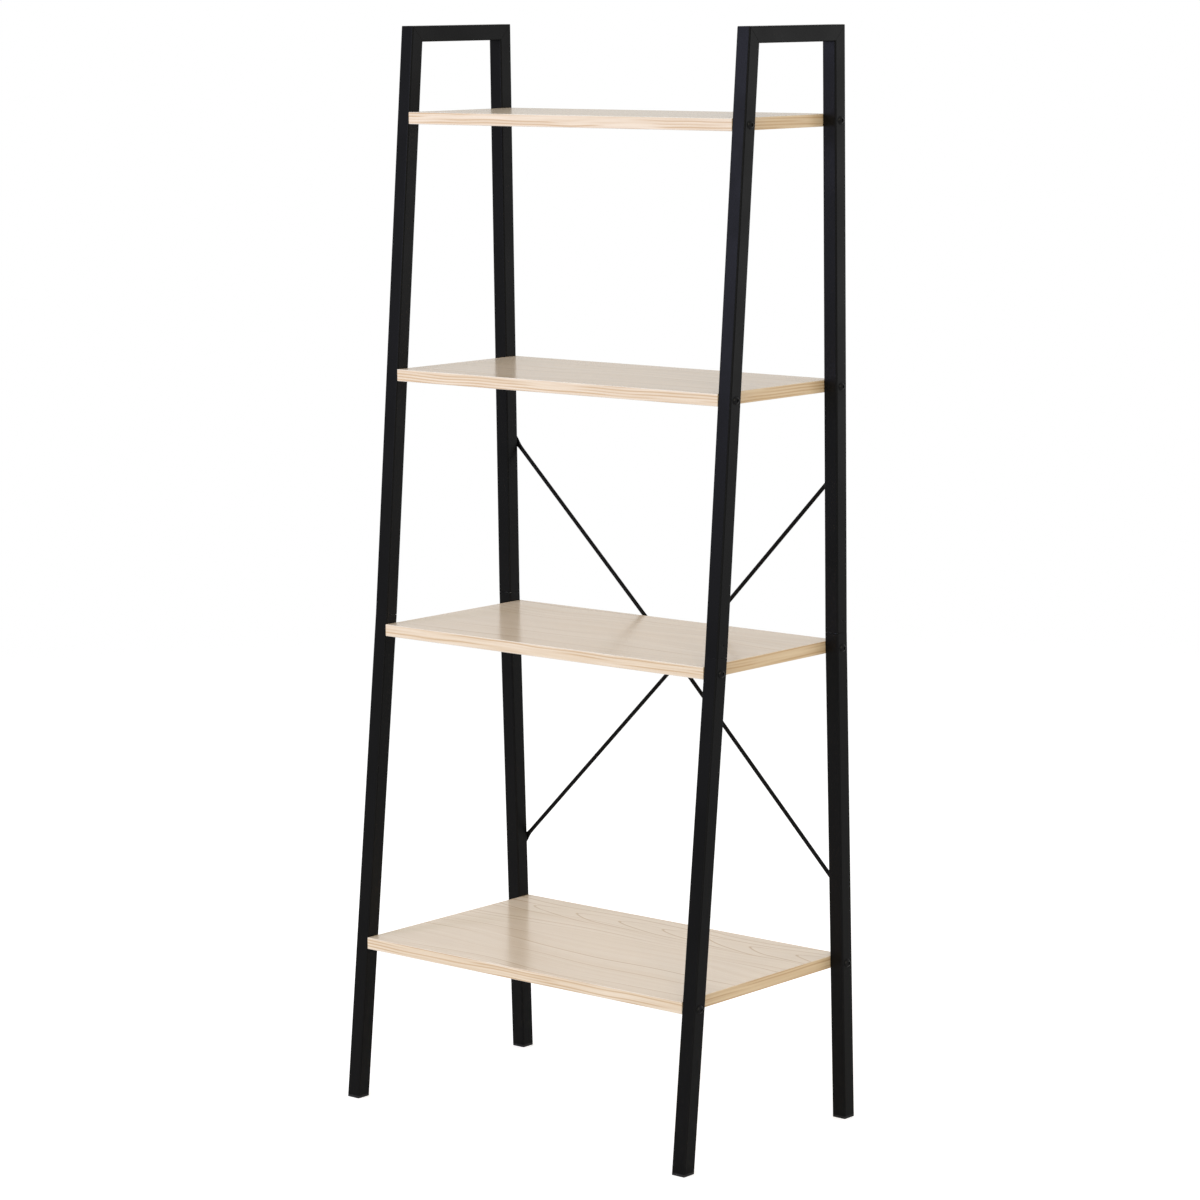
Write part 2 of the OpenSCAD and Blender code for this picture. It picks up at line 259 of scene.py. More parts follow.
def band_outline(height, thickness, radius, inset=0.0, margin=0.0003):
    """Section of an edge band, height across and thickness out: square corners against the
    board and quarter circles outside, all drawn in by the inset. The face between them is
    divided from a margin inside each corner. Gives the points, and for each the nearness to
    the middle of a rounded corner."""
    half, out, r = height / 2 - inset, thickness / 2 - inset, radius - inset
    turn = np.linspace(0, np.pi / 2, 7)
    flat = half - r
    face = np.linspace(flat - margin, margin - flat, 6)
    inside = inset - thickness / 2
    back = np.array([[-half, inside], [0, inside], [half, inside]])
    first = np.stack([flat + r * np.cos(turn), out - r + r * np.sin(turn)], 1)
    second = first[::-1] * [-1, 1]
    points = np.concatenate([back, first, np.stack([face, np.full(6, out)], 1), second])
    return points, np.concatenate([np.zeros(3), np.sin(2 * turn), np.zeros(6), np.sin(2 * turn)])


def eased_bar(axes, section, length, ease):
    """A section carried straight along from one eased end to the other. At each end the section
    shrinks over a quarter circle."""
    inset, rise = quarter_turn(ease)
    rings = [placed(axes, section(d), h) for d, h in zip(inset, rise)]
    rings += [placed(axes, section(0.0), w) for w in np.linspace(3 * ease, length - 3 * ease, 9)]
    rings += [placed(axes, section(d), length - h) for d, h in zip(inset[::-1], rise[::-1])]
    return np.array(rings)


def turned_skin(radii, heights):
    """Rings round local Z: radius and height are given for each ring and each of its points,
    so a ring may be a circle or a hexagon."""
    around = radii.shape[1]
    angle = np.arange(around) * 2 * np.pi / around
    rings = np.stack([radii * np.cos(angle), radii * np.sin(angle), heights], -1)
    return closed_skin(rings)


def plain_turned_skin(profile, around=48):
    """A solid turned round local Z from its (radius, height) profile."""
    profile = np.array(profile)
    return turned_skin(*(np.repeat(profile[:, n : n + 1], around, 1) for n in (0, 1)))


def round_head_screw(d, length, head_d, head_h, socket, around=48):
    """Domed screw with a hexagon socket, its head up from the origin. The dome is a sphere
    through the rim and the top; the socket's outline lies at half its width across flats
    divided by the cosine of the angle from the middle of a flat. The thread on the shank
    is a triangle wave of the height less the angle's share of the pitch."""
    angle = np.arange(around) * 2 * np.pi / around
    flat = (angle + np.pi / 6) % (np.pi / 3) - np.pi / 6
    hexagon = socket / 2 / np.cos(flat)
    rim_r, dome_r = head_d / 2, (head_d**2 / 4 + head_h**2) / (2 * head_h)

    def on_dome(r):
        return head_h - dome_r + np.sqrt(dome_r**2 - r**2)

    pitch = 0.16 * d
    rise = np.arange(-length + 0.6 * pitch, -0.25 * length, pitch / 4)
    wave = np.abs((rise[:, None] / pitch - angle / (2 * np.pi)) % 1 - 0.5) * 2
    thread = d / 2 - 0.5 * pitch * wave
    plain = [(d / 2, -0.22 * length), (d / 2, -0.02 * head_h), (rim_r - 0.04 * head_h, 0.0)]
    rim = [(rim_r, 0.03 * head_h), (rim_r - 0.01 * head_h, 0.07 * head_h)]
    socket_corner = socket / 2 / math.cos(math.pi / 6)
    out = np.linspace(0.985 * rim_r, 1.2 * socket_corner, 9)
    mouth, floor = 1.05 * hexagon, 0.4 * head_h
    radii = [np.full(around, 0.3 * d), *thread]
    heights = [np.full(around, -length), *np.repeat(rise[:, None], around, 1)]
    for r, h in [*plain, *rim, *zip(out, on_dome(out))]:
        radii.append(np.full(around, r))
        heights.append(np.full(around, h))
    radii += [mouth, hexagon, 0.99 * hexagon, 0.9 * hexagon, np.full(around, 0.1 * socket)]
    heights += [on_dome(mouth), on_dome(mouth) - 0.05 * head_h]
    heights += [np.full(around, floor - drop * head_h) for drop in (0.0, 0.02, 0.18)]
    edge = np.zeros(len(radii))
    edge[-5:-3] = 1
    edge[len(rise) + 3 : len(rise) + 7] = 0.8
    points, faces = turned_skin(np.array(radii), np.array(heights))
    return points, faces, np.repeat(edge, around)


# ------------------------------------------------------------------ pieces


def add_piece(node, skin, slot, values=None, sharp=40.0):
    """Makes the mesh that stands for a CAD node, with its attributes, finish and body. Edges
    bent by more than the sharp angle, in degrees, are shaded as edges."""
    points, faces = skin
    mesh = bpy.data.meshes.new(f"{node}_piece")
    mesh.from_pydata(points.tolist(), [], faces)
    for name, array in (values or {}).items():
        kind, field = ("FLOAT", "value") if array.ndim == 1 else ("FLOAT_VECTOR", "vector")
        attribute = mesh.attributes.new(name, kind, "POINT")
        attribute.data.foreach_set(field, array.astype(np.float32).ravel())
    mesh.polygons.foreach_set("use_smooth", np.ones(len(mesh.polygons), bool))
    mesh.set_sharp_from_angle(angle=math.radians(sharp))
    mesh.materials.append(finish_for(slot))
    if mesh.validate():
        raise ValueError(f"{node} has faces that are not sound")
    piece = bpy.data.objects.new(f"{node}_piece", mesh)
    bpy.context.scene.collection.objects.link(piece)
    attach(piece, "root")
    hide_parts(node)


def side_shares(dense):
    """Shares of a tube's side at which it is divided: near both corners and evenly between,
    and closely about the middle of the side that has a dimple."""
    plain = np.array([0.02, 0.25, 0.5, 0.75, 0.98])
    close = np.concatenate([[0.02, 0.2], np.linspace(0.35, 0.65, 15), [0.8, 0.98]])
    return [close if quarter == dense else plain for quarter in range(4)]


def even_shares(length, margin):
    """Shares of a side: close to both ends, and evenly between them."""
    return np.linspace(margin / length, 1 - margin / length, 6)


def press_dimple(points, axes, side, sizes):
    """Presses a ball into the side face: points move in by the ball's sag, the root of its
    radius squared less the distance squared, less what stays outside the face."""
    start, across, out, along = axes
    ball, depth = sizes.dimple_ball, sizes.dimple_depth
    rel = points - start
    distance2 = (rel @ out) ** 2 + (rel @ along - sizes.dimple_up) ** 2
    sag = np.sqrt(np.maximum(ball**2 - distance2, 0)) - (ball - depth)
    on_face = side * (rel @ across) > TUBE / 2 - 1e-6
    return points - (side * np.maximum(sag, 0) * on_face)[:, None] * across


def brace_places(sizes):
    """The heights of the lower and the upper brace screws, from the box round their heads."""
    low, high = corners("brace_screws")
    _, lean_low, lean_high = outer_line("rear")
    seat = sizes.nut_flange + sizes.flat_thickness
    r = sizes.head_diameter / 2
    return (
        low[2] + r * math.cos(lean_low) - seat * math.sin(lean_low),
        high[2] - r * math.cos(lean_high) - seat * math.sin(lean_high),
    )


def outward_places(off, sizes):
    """Starts and axes at the four brace screws, at a distance out from the back face. Local Z
    points out of the face."""
    places = []
    for side in SIDES.values():
        for height in brace_places(sizes):
            middle, across, out, up = back_face_axes(side, height)
            places.append((middle + off * out, -across, up, out))
    return places


def rod_path(top_side, middle_y, sizes):
    """Corners of a rod's middle line from the tip of its upper flat to the tip of its lower one."""
    low, high = corners("brace_rivet")
    middle_z = (low[2] + high[2]) / 2
    heights = brace_places(sizes)
    ends = []
    for side, height in ((top_side, heights[1]), (-top_side, heights[0])):
        slant = math.atan2(middle_z - height, -side * LEG_X)
        middle, across, out, up = back_face_axes(side, height)
        eye = middle + (sizes.nut_flange + sizes.flat_thickness / 2) * out
        way = math.cos(slant) * across + math.sin(slant) * up
        flat = np.array([math.cos(slant), 0.0, math.sin(slant)])
        centre = np.array([0.0, middle_y, middle_z])
        tip, bend = eye - way * sizes.flat_width / 2, eye + way * sizes.flat_length
        ends.append([tip, bend, centre - sizes.middle_length / 2 * flat])
    return np.array(ends[0] + ends[1][::-1])


def rod_skin(path, sizes, around=24):
    """A rod swept along its path, flattened at its ends and middle. The path is averaged over a
    window, which rounds its bends. The section is a superellipse whose half width, half
    thickness and power change along the rod: power 2 is round and higher powers are flatter."""
    legs = np.linalg.norm(np.diff(path, axis=0), axis=1)
    marks = np.concatenate([[0], np.cumsum(legs)])
    length, centre = marks[-1], (marks[2] + marks[3]) / 2
    first, last = path[0] - unit(path[1] - path[0]), path[-1] + unit(path[-1] - path[-2])
    far_marks, far = np.concatenate([[-1], marks, [length + 1]]), np.vstack([first, path, last])
    fine = np.concatenate([np.linspace(0, 1, 12) ** 2 * 0.006, np.arange(0.007, 0.036, 0.0012)])
    about = centre + np.arange(-0.026, 0.0261, 0.0013)
    plain = np.linspace(0.04, length - 0.04, 60)
    stations = np.unique(np.concatenate([fine, about, length - fine, plain]))
    window = 0.004
    spots = stations[:, None] + np.linspace(-window, window, 9)
    middle = np.stack([np.interp(spots, far_marks, far[:, n]).mean(1) for n in range(3)], 1)
    along = unit(np.gradient(middle, stations, axis=0))
    wide = unit(np.cross(along, np.array([0.0, 1.0, 0.0])))
    thick = np.cross(wide, along)
    from_tip = np.minimum(stations, length - stations)
    eye, rod, flat = sizes.flat_width / 2, sizes.rod_diameter / 2, sizes.flat_thickness / 2
    end, middle_end, fade = eye + sizes.flat_length, sizes.middle_length / 2, 0.009
    blend = smooth_step(eye + 0.6 * sizes.flat_length, end + fade, from_tip)
    narrow = smooth_step(eye + 0.2 * sizes.flat_length, end + fade / 3, from_tip)
    half_w = eye + (rod * 1.05 - eye) * narrow
    from_centre = np.abs(stations - centre)
    spread = 1 - smooth_step(0.8 * middle_end, middle_end + fade, from_centre)
    half_w = half_w + (sizes.middle_width / 2 - half_w) * spread
    round_tip = np.sqrt(np.maximum(eye**2 - np.maximum(eye - from_tip, 0) ** 2, 1e-10)) / eye
    half_w = half_w * round_tip
    squash = np.maximum(1 - blend, spread)
    half_t = rod + (flat - rod) * squash
    power = 2 / (2 + 3.5 * squash)
    angle = np.arange(around) * 2 * np.pi / around
    c, s = np.cos(angle), np.sin(angle)
    u = half_w[:, None] * np.sign(c) * np.abs(c) ** power[:, None]
    v = half_t[:, None] * np.sign(s) * np.abs(s) ** power[:, None]
    rings = middle[:, None] + u[..., None] * wide[:, None] + v[..., None] * thick[:, None]
    edge = squash[:, None] * np.clip(np.abs(np.sin(2 * angle)), 0, 1)
    return closed_skin(rings), edge.ravel()


# ------------------------------------------------------------------ finishes


def wire(tree, kind, inputs=None, **settings):
    """Adds a node with its settings, and sets its inputs or joins them to other nodes' outputs."""
    node = tree.nodes.new(kind)
    for name, value in settings.items():
        setattr(node, name, value)
    for key, value in (inputs or {}).items():
        if isinstance(value, bpy.types.NodeSocket):
            tree.links.new(value, node.inputs[key])
        else:
            node.inputs[key].default_value = value
    return node


def calc(tree, operation, *values, clamp=False):
    """One Math node on up to three values or outputs."""
    node = wire(tree, "ShaderNodeMath", dict(enumerate(values)), operation=operation, use_clamp=clamp)
    return node.outputs[0]


def noise(tree, vector, scale, detail):
    """Noise with a number of features, the scale, to each unit of its vector."""
    inputs = {"Vector": vector, "Scale": scale, "Detail": detail}
    return wire(tree, "ShaderNodeTexNoise", inputs).outputs["Fac"]


def stretched_noise(tree, vector, stretch, detail):
    """Noise on coordinates multiplied by a stretch, so that its grains are long along one axis."""
    scaled = wire(tree, "ShaderNodeMapping", {"Vector": vector, "Scale": stretch})
    return noise(tree, scaled.outputs[0], 1.0, detail)


def band_of(tree, value, low, high):
    """0 below low, 1 above high, smooth between."""
    node = wire(
        tree,
        "ShaderNodeMapRange",
        {"Value": value, "From Min": low, "From Max": high},
        interpolation_type="SMOOTHSTEP",
    )
    return node.outputs[0]


def mixed(tree, share, a, b):
    """A colour that goes from a to b as the share goes from 0 to 1."""
    node = tree.nodes.new("ShaderNodeMix")
    node.data_type = "RGBA"
    for key, value in ((0, share), (6, a), (7, b)):
        if isinstance(value, bpy.types.NodeSocket):
            tree.links.new(value, node.inputs[key])
        else:
            node.inputs[key].default_value = value if key == 0 else (*value[:3], 1.0)
    return node.outputs[2]


def give(group, out, **values):
    """Joins values to the named outputs of a group."""
    for name, value in values.items():
        group.links.new(value, out.inputs[name])
    return group


def new_group(name, inputs, outputs):
    """An empty shader node group with named inputs and outputs. An input is a name, a socket
    type and its default."""
    group = bpy.data.node_groups.new(name, "ShaderNodeTree")
    for label, kind, default in inputs:
        socket = group.interface.new_socket(name=label, in_out="INPUT", socket_type=kind)
        if default is not None:
            socket.default_value = default
    for label in outputs:
        group.interface.new_socket(name=label, in_out="OUTPUT", socket_type="NodeSocketFloat")
    return group, wire(group, "NodeGroupInput"), wire(group, "NodeGroupOutput")


def grain_and_mottle_group():
    """Coat texture: Height is a fine pebbled grain of the given size, Mottle a slow unevenness."""
    group, given, out = new_group(
        "Coat texture",
        [("Vector", "NodeSocketVector", None), ("Size", "NodeSocketFloat", 0.001)],
        ["Height", "Mottle"],
    )
    vector = given.outputs["Vector"]
    per_metre = calc(group, "DIVIDE", 1.0, given.outputs["Size"])
    peel = noise(group, vector, per_metre, 1.5)
    grit = noise(group, vector, calc(group, "MULTIPLY", per_metre, 2.7), 1.0)
    slow = noise(group, vector, 17.0, 3.0)
    height = calc(group, "MULTIPLY_ADD", grit, 0.4, peel)
    return give(group, out, Height=height, Mottle=band_of(group, slow, 0.3, 0.7))


def edge_rub_and_highlight_group():
    """Edge rub and highlight: Mask is high on a piece's edges, broken up by noise. Reach widens it. On the
    dark finishes it marks worn edges; on the edge bands it places a painted highlight.
    """
    group, given, out = new_group(
        "Edge rub and highlight",
        [
            ("Vector", "NodeSocketVector", None),
            ("Edge", "NodeSocketFloat", 0.0),
            ("Reach", "NodeSocketFloat", 0.3),
        ],
        ["Mask"],
    )
    patch = noise(group, given.outputs["Vector"], 60.0, 4.0)
    worn = calc(group, "MULTIPLY_ADD", patch, 0.8, given.outputs["Reach"])
    near = band_of(group, given.outputs["Edge"], 0.35, 1.0)
    return give(group, out, Mask=calc(group, "MULTIPLY", near, worn, clamp=True))


def fine_dust_group():
    """Fine dust: Mask has small pale specks in slow patches."""
    group, given, out = new_group(
        "Fine dust",
        [("Vector", "NodeSocketVector", None), ("Amount", "NodeSocketFloat", 0.2)],
        ["Mask"],
    )
    vector = given.outputs["Vector"]
    specks = band_of(group, noise(group, vector, 1900.0, 1.0), 0.62, 0.75)
    patches = band_of(group, noise(group, vector, 11.0, 2.0), 0.4, 0.7)
    spread = calc(group, "MULTIPLY", specks, patches)
    return give(group, out, Mask=calc(group, "MULTIPLY", spread, given.outputs["Amount"]))


def grain_lines_group():
    """Wood lines along X. Y, bent by a slow noise, divided by the spacing gives a number, and a
    dark line lies where its fraction is a half. Noise that differs from line to line makes each
    come and go. Streaks and fibres are noise stretched along the bent grain."""
    group, given, out = new_group(
        "Grain lines",
        [
            ("Vector", "NodeSocketVector", None),
            ("Spacing", "NodeSocketFloat", 0.014),
            ("Thickness", "NodeSocketFloat", 0.0014),
            ("Wave", "NodeSocketFloat", 0.08),
            ("Rate", "NodeSocketFloat", 3.4),
            ("Presence", "NodeSocketFloat", 0.0),
        ],
        ["Lines", "Broad", "Streaks", "Fibres", "Pores", "Height"],
    )
    do, band = partial(calc, group), partial(band_of, group)
    rate, spacing = given.outputs["Rate"], given.outputs["Spacing"]
    parts = wire(group, "ShaderNodeSeparateXYZ", {0: given.outputs["Vector"]}).outputs
    along = do("MULTIPLY", parts["X"], rate)

    def noise_at(x, x_rate, y, y_rate, detail):
        """Noise at X and Y, each multiplied by its rate, and the piece's own Z."""
        x = x if x_rate == 1.0 else do("MULTIPLY", x, x_rate)
        y = y if y_rate == 1.0 else do("MULTIPLY", y, y_rate)
        place = wire(group, "ShaderNodeCombineXYZ", {0: x, 1: y, 2: parts["Z"]})
        return noise(group, place.outputs[0], 1.0, detail)

    bend = noise_at(along, 1.0, parts["Y"], do("MULTIPLY", rate, 2.0), 1.0)
    y = do("MULTIPLY_ADD", do("SUBTRACT", bend, 0.5), given.outputs["Wave"], parts["Y"])
    number = do("DIVIDE", y, spacing)
    off = do("MULTIPLY", do("ABSOLUTE", do("SUBTRACT", do("FRACT", number), 0.5)), spacing)
    off = do("DIVIDE", off, given.outputs["Thickness"])
    comes = noise_at(along, 0.7, do("FLOOR", number), 7.13, 1.0)
    present = band(do("ADD", comes, given.outputs["Presence"]), 0.49, 0.62)
    lines = do("MULTIPLY", band(do("SUBTRACT", 1.0, off), 0.0, 0.75), present)
    per_line = do("DIVIDE", y, do("MULTIPLY", spacing, 0.8))
    broad = band(noise_at(along, 0.5, per_line, 1.0, 2.0), 0.32, 0.68)
    streaks = band(noise_at(along, 1.2, y, 330.0, 3.0), 0.3, 0.7)
    fibres = noise_at(parts["X"], 14.0, y, 900.0, 3.0)
    dash = noise_at(parts["X"], 70.0, y, 1500.0, 1.0)
    pores = do("MULTIPLY", band(dash, 0.6, 0.72), band(fibres, 0.4, 0.6))
    height = do("SUBTRACT", do("MULTIPLY", fibres, 0.5), pores)
    give(group, out, Lines=lines, Broad=broad, Streaks=streaks)
    return give(group, out, Fibres=fibres, Pores=pores, Height=height)


def oak_arches_group():
    """Nested arches with their tips towards -X, in a strip that repeats along Y. With v the
    distance from the strip's middle over its reach, a tip's place is X plus a length times the
    logarithm of one less v; divided by the spacing of the tips, its whole numbers are dark
    lines, drawn at an even thickness by dividing by the slope."""
    group, given, out = new_group(
        "Oak arches",
        [
            ("Vector", "NodeSocketVector", None),
            ("Middle", "NodeSocketFloat", 0.122),
            ("Reach", "NodeSocketFloat", 0.031),
            ("Length", "NodeSocketFloat", 0.055),
            ("First tip", "NodeSocketFloat", 0.138),
            ("Tip spacing", "NodeSocketFloat", 0.0725),
            ("Thickness", "NodeSocketFloat", 0.0018),
        ],
        ["Lines", "Inside"],
    )
    do, band = partial(calc, group), partial(band_of, group)
    vector, reach, length = (given.outputs[name] for name in ("Vector", "Reach", "Length"))
    spacing, half_period, tip_radius = given.outputs["Tip spacing"], 0.31, 0.0034
    parts = wire(group, "ShaderNodeSeparateXYZ", {0: vector}).outputs
    bend = do("SUBTRACT", stretched_noise(group, vector, (9.0, 3.0, 1.0), 1.0), 0.5)
    y = do("SUBTRACT", do("MULTIPLY_ADD", bend, 0.022, parts["Y"]), given.outputs["Middle"])
    y = do("WRAP", y, half_period, -half_period)
    y = do("MULTIPLY_ADD", do("MAXIMUM", y, 0.0), 0.8, y)
    rounded = do("SQRT", do("MULTIPLY_ADD", y, y, 0.000012))
    v = do("DIVIDE", do("SUBTRACT", rounded, tip_radius), reach)
    rest = do("MAXIMUM", do("SUBTRACT", 1.0, v), 0.02)
    drift = do("MULTIPLY", do("LOGARITHM", rest, math.e), length)
    along = do("ADD", parts["X"], do("ADD", drift, given.outputs["First tip"]))
    part = do("FRACT", do("DIVIDE", along, spacing))
    near = do("MINIMUM", part, do("SUBTRACT", 1.0, part))
    steep = do("DIVIDE", length, do("MULTIPLY", reach, rest))
    slope = do("SQRT", do("MULTIPLY_ADD", steep, steep, 1.0))
    off = do("DIVIDE", do("MULTIPLY", near, spacing), slope)
    off = do("DIVIDE", off, given.outputs["Thickness"])
    inside = band(rest, 0.04, 0.14)
    upper = band(do("DIVIDE", y, reach), 1.0, 0.3)
    fade = band(stretched_noise(group, vector, (5.0, 14.0, 1.0), 2.0), 0.26, 0.44)
    lines = do("MULTIPLY", band(do("SUBTRACT", 1.0, off), 0.0, 0.75), inside)
    lines = do("MULTIPLY", do("MULTIPLY", lines, fade), upper)
    pale = do("MULTIPLY", band(part, 0.55, 0.04), do("MULTIPLY", inside, fade))
    return give(group, out, Lines=lines, Inside=do("MULTIPLY", pale, upper))


GROUPS = {
    "Coat texture": grain_and_mottle_group,
    "Edge rub and highlight": edge_rub_and_highlight_group,
    "Fine dust": fine_dust_group,
    "Grain lines": grain_lines_group,
    "Oak arches": oak_arches_group,
}


def placed_group(tree, name, inputs):
    """A node that uses one of the shared groups, which is built the first time it is asked for."""
    group = bpy.data.node_groups.get(name) or GROUPS[name]()
    node = tree.nodes.new("ShaderNodeGroup")
    node.node_tree = group
    for key, value in inputs.items():
        if isinstance(value, bpy.types.NodeSocket):
            tree.links.new(value, node.inputs[key])
        else:
            node.inputs[key].default_value = value
    return node


def new_finish(name):
    """An empty material with its shader, ready for the nodes that feed it."""
    material = bpy.data.materials.new(name)
    material.use_nodes = True
    return material, material.node_tree, material.node_tree.nodes["Principled BSDF"]


def set_shader(shader, **values):
    """Sets the shader's own sockets, named with underscores for spaces."""
    for name, value in values.items():
        shader.inputs[name.replace("_", " ")].default_value = value


def add_bump(tree, shader, height, strength, distance):
    """Joins a height to the shader's normal."""
    bump = wire(tree, "ShaderNodeBump", {"Height": height, "Strength": strength, "Distance": distance})
    tree.links.new(bump.outputs[0], shader.inputs["Normal"])


def object_vector(tree):
    """Coordinates of the piece itself, in metres."""
    return wire(tree, "ShaderNodeTexCoord").outputs["Object"]


def edge_value(tree):
    """The piece's own measure of how near a point is to an edge."""
    return wire(tree, "ShaderNodeAttribute", attribute_name="edge").outputs["Fac"]


def varied_roughness(tree, shader, amount, low, high):
    """Roughness that follows an unevenness between two values."""
    node = wire(tree, "ShaderNodeMapRange", {"Value": amount, "To Min": low, "To Max": high})
    tree.links.new(node.outputs[0], shader.inputs["Roughness"])


def dark_finish(name, colour, gloss, roughness, grain, mottle, rub, dust, bump, metallic=0.0):
    """A dark surface with a pebbled grain of the given size and slow unevenness between two
    shares of its colour. The rub is the reach of the worn edges and their share of the colour,
    and the dust, if any, its amount and its share."""
    material, tree, shader = new_finish(name)
    vector, base = object_vector(tree), np.array(colour[:3])
    coat = placed_group(tree, "Coat texture", {"Vector": vector, "Size": grain}).outputs
    edges = {"Vector": vector, "Edge": edge_value(tree), "Reach": rub[0]}
    worn = placed_group(tree, "Edge rub and highlight", edges).outputs["Mask"]
    tone = mixed(tree, coat["Mottle"], base * mottle[0], base * mottle[1])
    tone = mixed(tree, worn, tone, base * rub[1])
    if dust:
        specks = placed_group(tree, "Fine dust", {"Vector": vector, "Amount": dust[0]})
        tone = mixed(tree, specks.outputs["Mask"], tone, base * dust[1])
    tree.links.new(tone, shader.inputs["Base Color"])
    varied_roughness(tree, shader, coat["Mottle"], *roughness)
    set_shader(shader, Metallic=metallic, Specular_IOR_Level=gloss)
    add_bump(tree, shader, coat["Height"], *bump)
    return material


def powder_coat(colours):
    """Black powder coat: a fine pebbled grain, slow unevenness, rubbed corners and a little dust."""
    return dark_finish(
        "Black powder coat",
        colours.coat,
        gloss=colours.coat_gloss,
        roughness=(colours.coat_roughness - 0.03, colours.coat_roughness + 0.05),
        grain=0.0011,
        mottle=(0.85, 1.15),
        rub=(0.1, 2.2),
        dust=(0.35, 7.0),
        bump=(0.35, 0.00012),
    )


def black_screw_steel(colours):
    """Black oxide on screws: smoother than the coat, with bare steel showing on rubbed edges."""
    return dark_finish(
        "Black screw steel",
        colours.screw,
        gloss=0.2,
        roughness=(0.27, 0.4),
        grain=0.0006,
        mottle=(0.8, 1.3),
        rub=(0.2, 5.0),
        dust=None,
        bump=(0.2, 0.00005),
        metallic=0.1,
    )


def foot_plastic(colours):
    """Moulded black plastic with a spark-eroded grain, scuffed where it meets the floor."""
    return dark_finish(
        "Black moulded plastic",
        colours.plastic,
        gloss=0.35,
        roughness=(0.46, 0.6),
        grain=0.0007,
        mottle=(0.85, 1.15),
        rub=(0.3, 2.4),
        dust=(0.5, 9.0),
        bump=(0.4, 0.00008),
    )


def zinc_plate(colours):
    """Bright zinc plating: faint crystals, soft wipe marks and a dull film."""
    material, tree, shader = new_finish("Zinc plate")
    vector = object_vector(tree)
    coat = placed_group(tree, "Coat texture", {"Vector": vector, "Size": 0.0009})
    cells = wire(tree, "ShaderNodeTexVoronoi", {"Vector": vector, "Scale": 260.0})
    base = np.array(colours.zinc[:3])
    tone = mixed(tree, band_of(tree, cells.outputs["Distance"], 0.1, 0.7), base * 0.86, base)
    tone = mixed(tree, calc(tree, "MULTIPLY", coat.outputs["Mottle"], 0.4), tone, base * 0.7)
    tree.links.new(tone, shader.inputs["Base Color"])
    varied_roughness(tree, shader, coat.outputs["Mottle"], 0.3, 0.48)
    set_shader(shader, Metallic=1.0)
    add_bump(tree, shader, coat.outputs["Height"], 0.2, 0.00005)
    return material


def grain_vector(tree):
    """The piece's own coordinates with the grain along X."""
    return wire(tree, "ShaderNodeAttribute", attribute_name="grain").outputs["Vector"]


def laid_over(tree, tone, colour, layers):
    """A tone with a colour laid over it through each mask in turn, multiplied by its share."""
    for mask, share in layers:
        tone = mixed(tree, calc(tree, "MULTIPLY", mask, share), tone, colour)
    return tone


def oak_decor(colours):
    """Pale oak decor on the boards: nested arches, wavy veins, fine streaks and pores under a
    satin film."""
    material, tree, shader = new_finish("Pale oak decor")
    vector = grain_vector(tree)
    wood = placed_group(tree, "Grain lines", {"Vector": vector}).outputs
    arches = placed_group(tree, "Oak arches", {"Vector": vector}).outputs
    tone = mixed(tree, wood["Broad"], colours.oak_dark, colours.oak_light)
    tone = laid_over(tree, tone, colours.oak_light, [(arches["Inside"], 0.6)])
    veins = [(wood["Streaks"], 0.16), (wood["Lines"], 0.8), (arches["Lines"], 0.8)]
    veins.append((wood["Pores"], 0.25))
    tree.links.new(laid_over(tree, tone, colours.oak_vein, veins), shader.inputs["Base Color"])
    film = colours.board_roughness
    varied_roughness(tree, shader, wood["Streaks"], film - 0.02, film + 0.05)
    set_shader(shader, Specular_IOR_Level=0.5)
    add_bump(tree, shader, wood["Height"], 0.1, 0.00006)
    return material


# Painted shade: darker, warmer tints for the bands on the short sides, standing in for how the light falls
# on the sides.
SIDE_SHADE_GROUND = (0.88, 0.79, 0.64)
SIDE_SHADE_LINE = (0.93, 0.88, 0.8)


def oak_band(colours):
    """Edge band: wavy brown lines along its length on a cream ground, its rounded corners paler, partly the
    whitened trim and partly a painted highlight.
    The bands on the short sides are darker and warmer: a painted shade that stands in for how the light
    falls on the sides."""
    material, tree, shader = new_finish("Pale oak edge band")
    vector = grain_vector(tree)
    lines = {"Spacing": 0.0036, "Thickness": 0.0012, "Wave": 0.0065, "Rate": 8.0, "Presence": 0.08}
    wood = placed_group(tree, "Grain lines", {"Vector": vector, **lines}).outputs
    # Corner mask: where the band's rounded corners take the pale tone, partly whitened trim and partly a
    # painted highlight.
    edges = {"Vector": vector, "Edge": edge_value(tree), "Reach": 0.45}
    corner = placed_group(tree, "Edge rub and highlight", edges).outputs["Mask"]
    # Painted shade: 1 on the short side bands, which take the darker, warmer tint.
    side_shade = wire(tree, "ShaderNodeAttribute", attribute_name="painted_side_shade").outputs["Fac"]
    light, dark, line = (
        mixed(tree, side_shade, plain, np.array(plain[:3]) * shade_tint)
        for plain, shade_tint in (
            (colours.band_light, SIDE_SHADE_GROUND),
            (colours.band_dark, SIDE_SHADE_GROUND),
            (colours.band_line, SIDE_SHADE_LINE),
        )
    )
    tone = mixed(tree, wood["Broad"], dark, light)
    tone = laid_over(tree, tone, line, [(wood["Streaks"], 0.3), (wood["Lines"], 0.75)])
    # Painted highlight, partly whitened trim: the rounded corners are mixed towards the pale corner tone.
    tone = mixed(tree, corner, tone, colours.band_corner_highlight)
    tree.links.new(tone, shader.inputs["Base Color"])
    varied_roughness(tree, shader, wood["Fibres"], 0.36, 0.48)
    set_shader(shader, Specular_IOR_Level=0.45)
    add_bump(tree, shader, wood["Height"], 0.12, 0.00006)
    return material


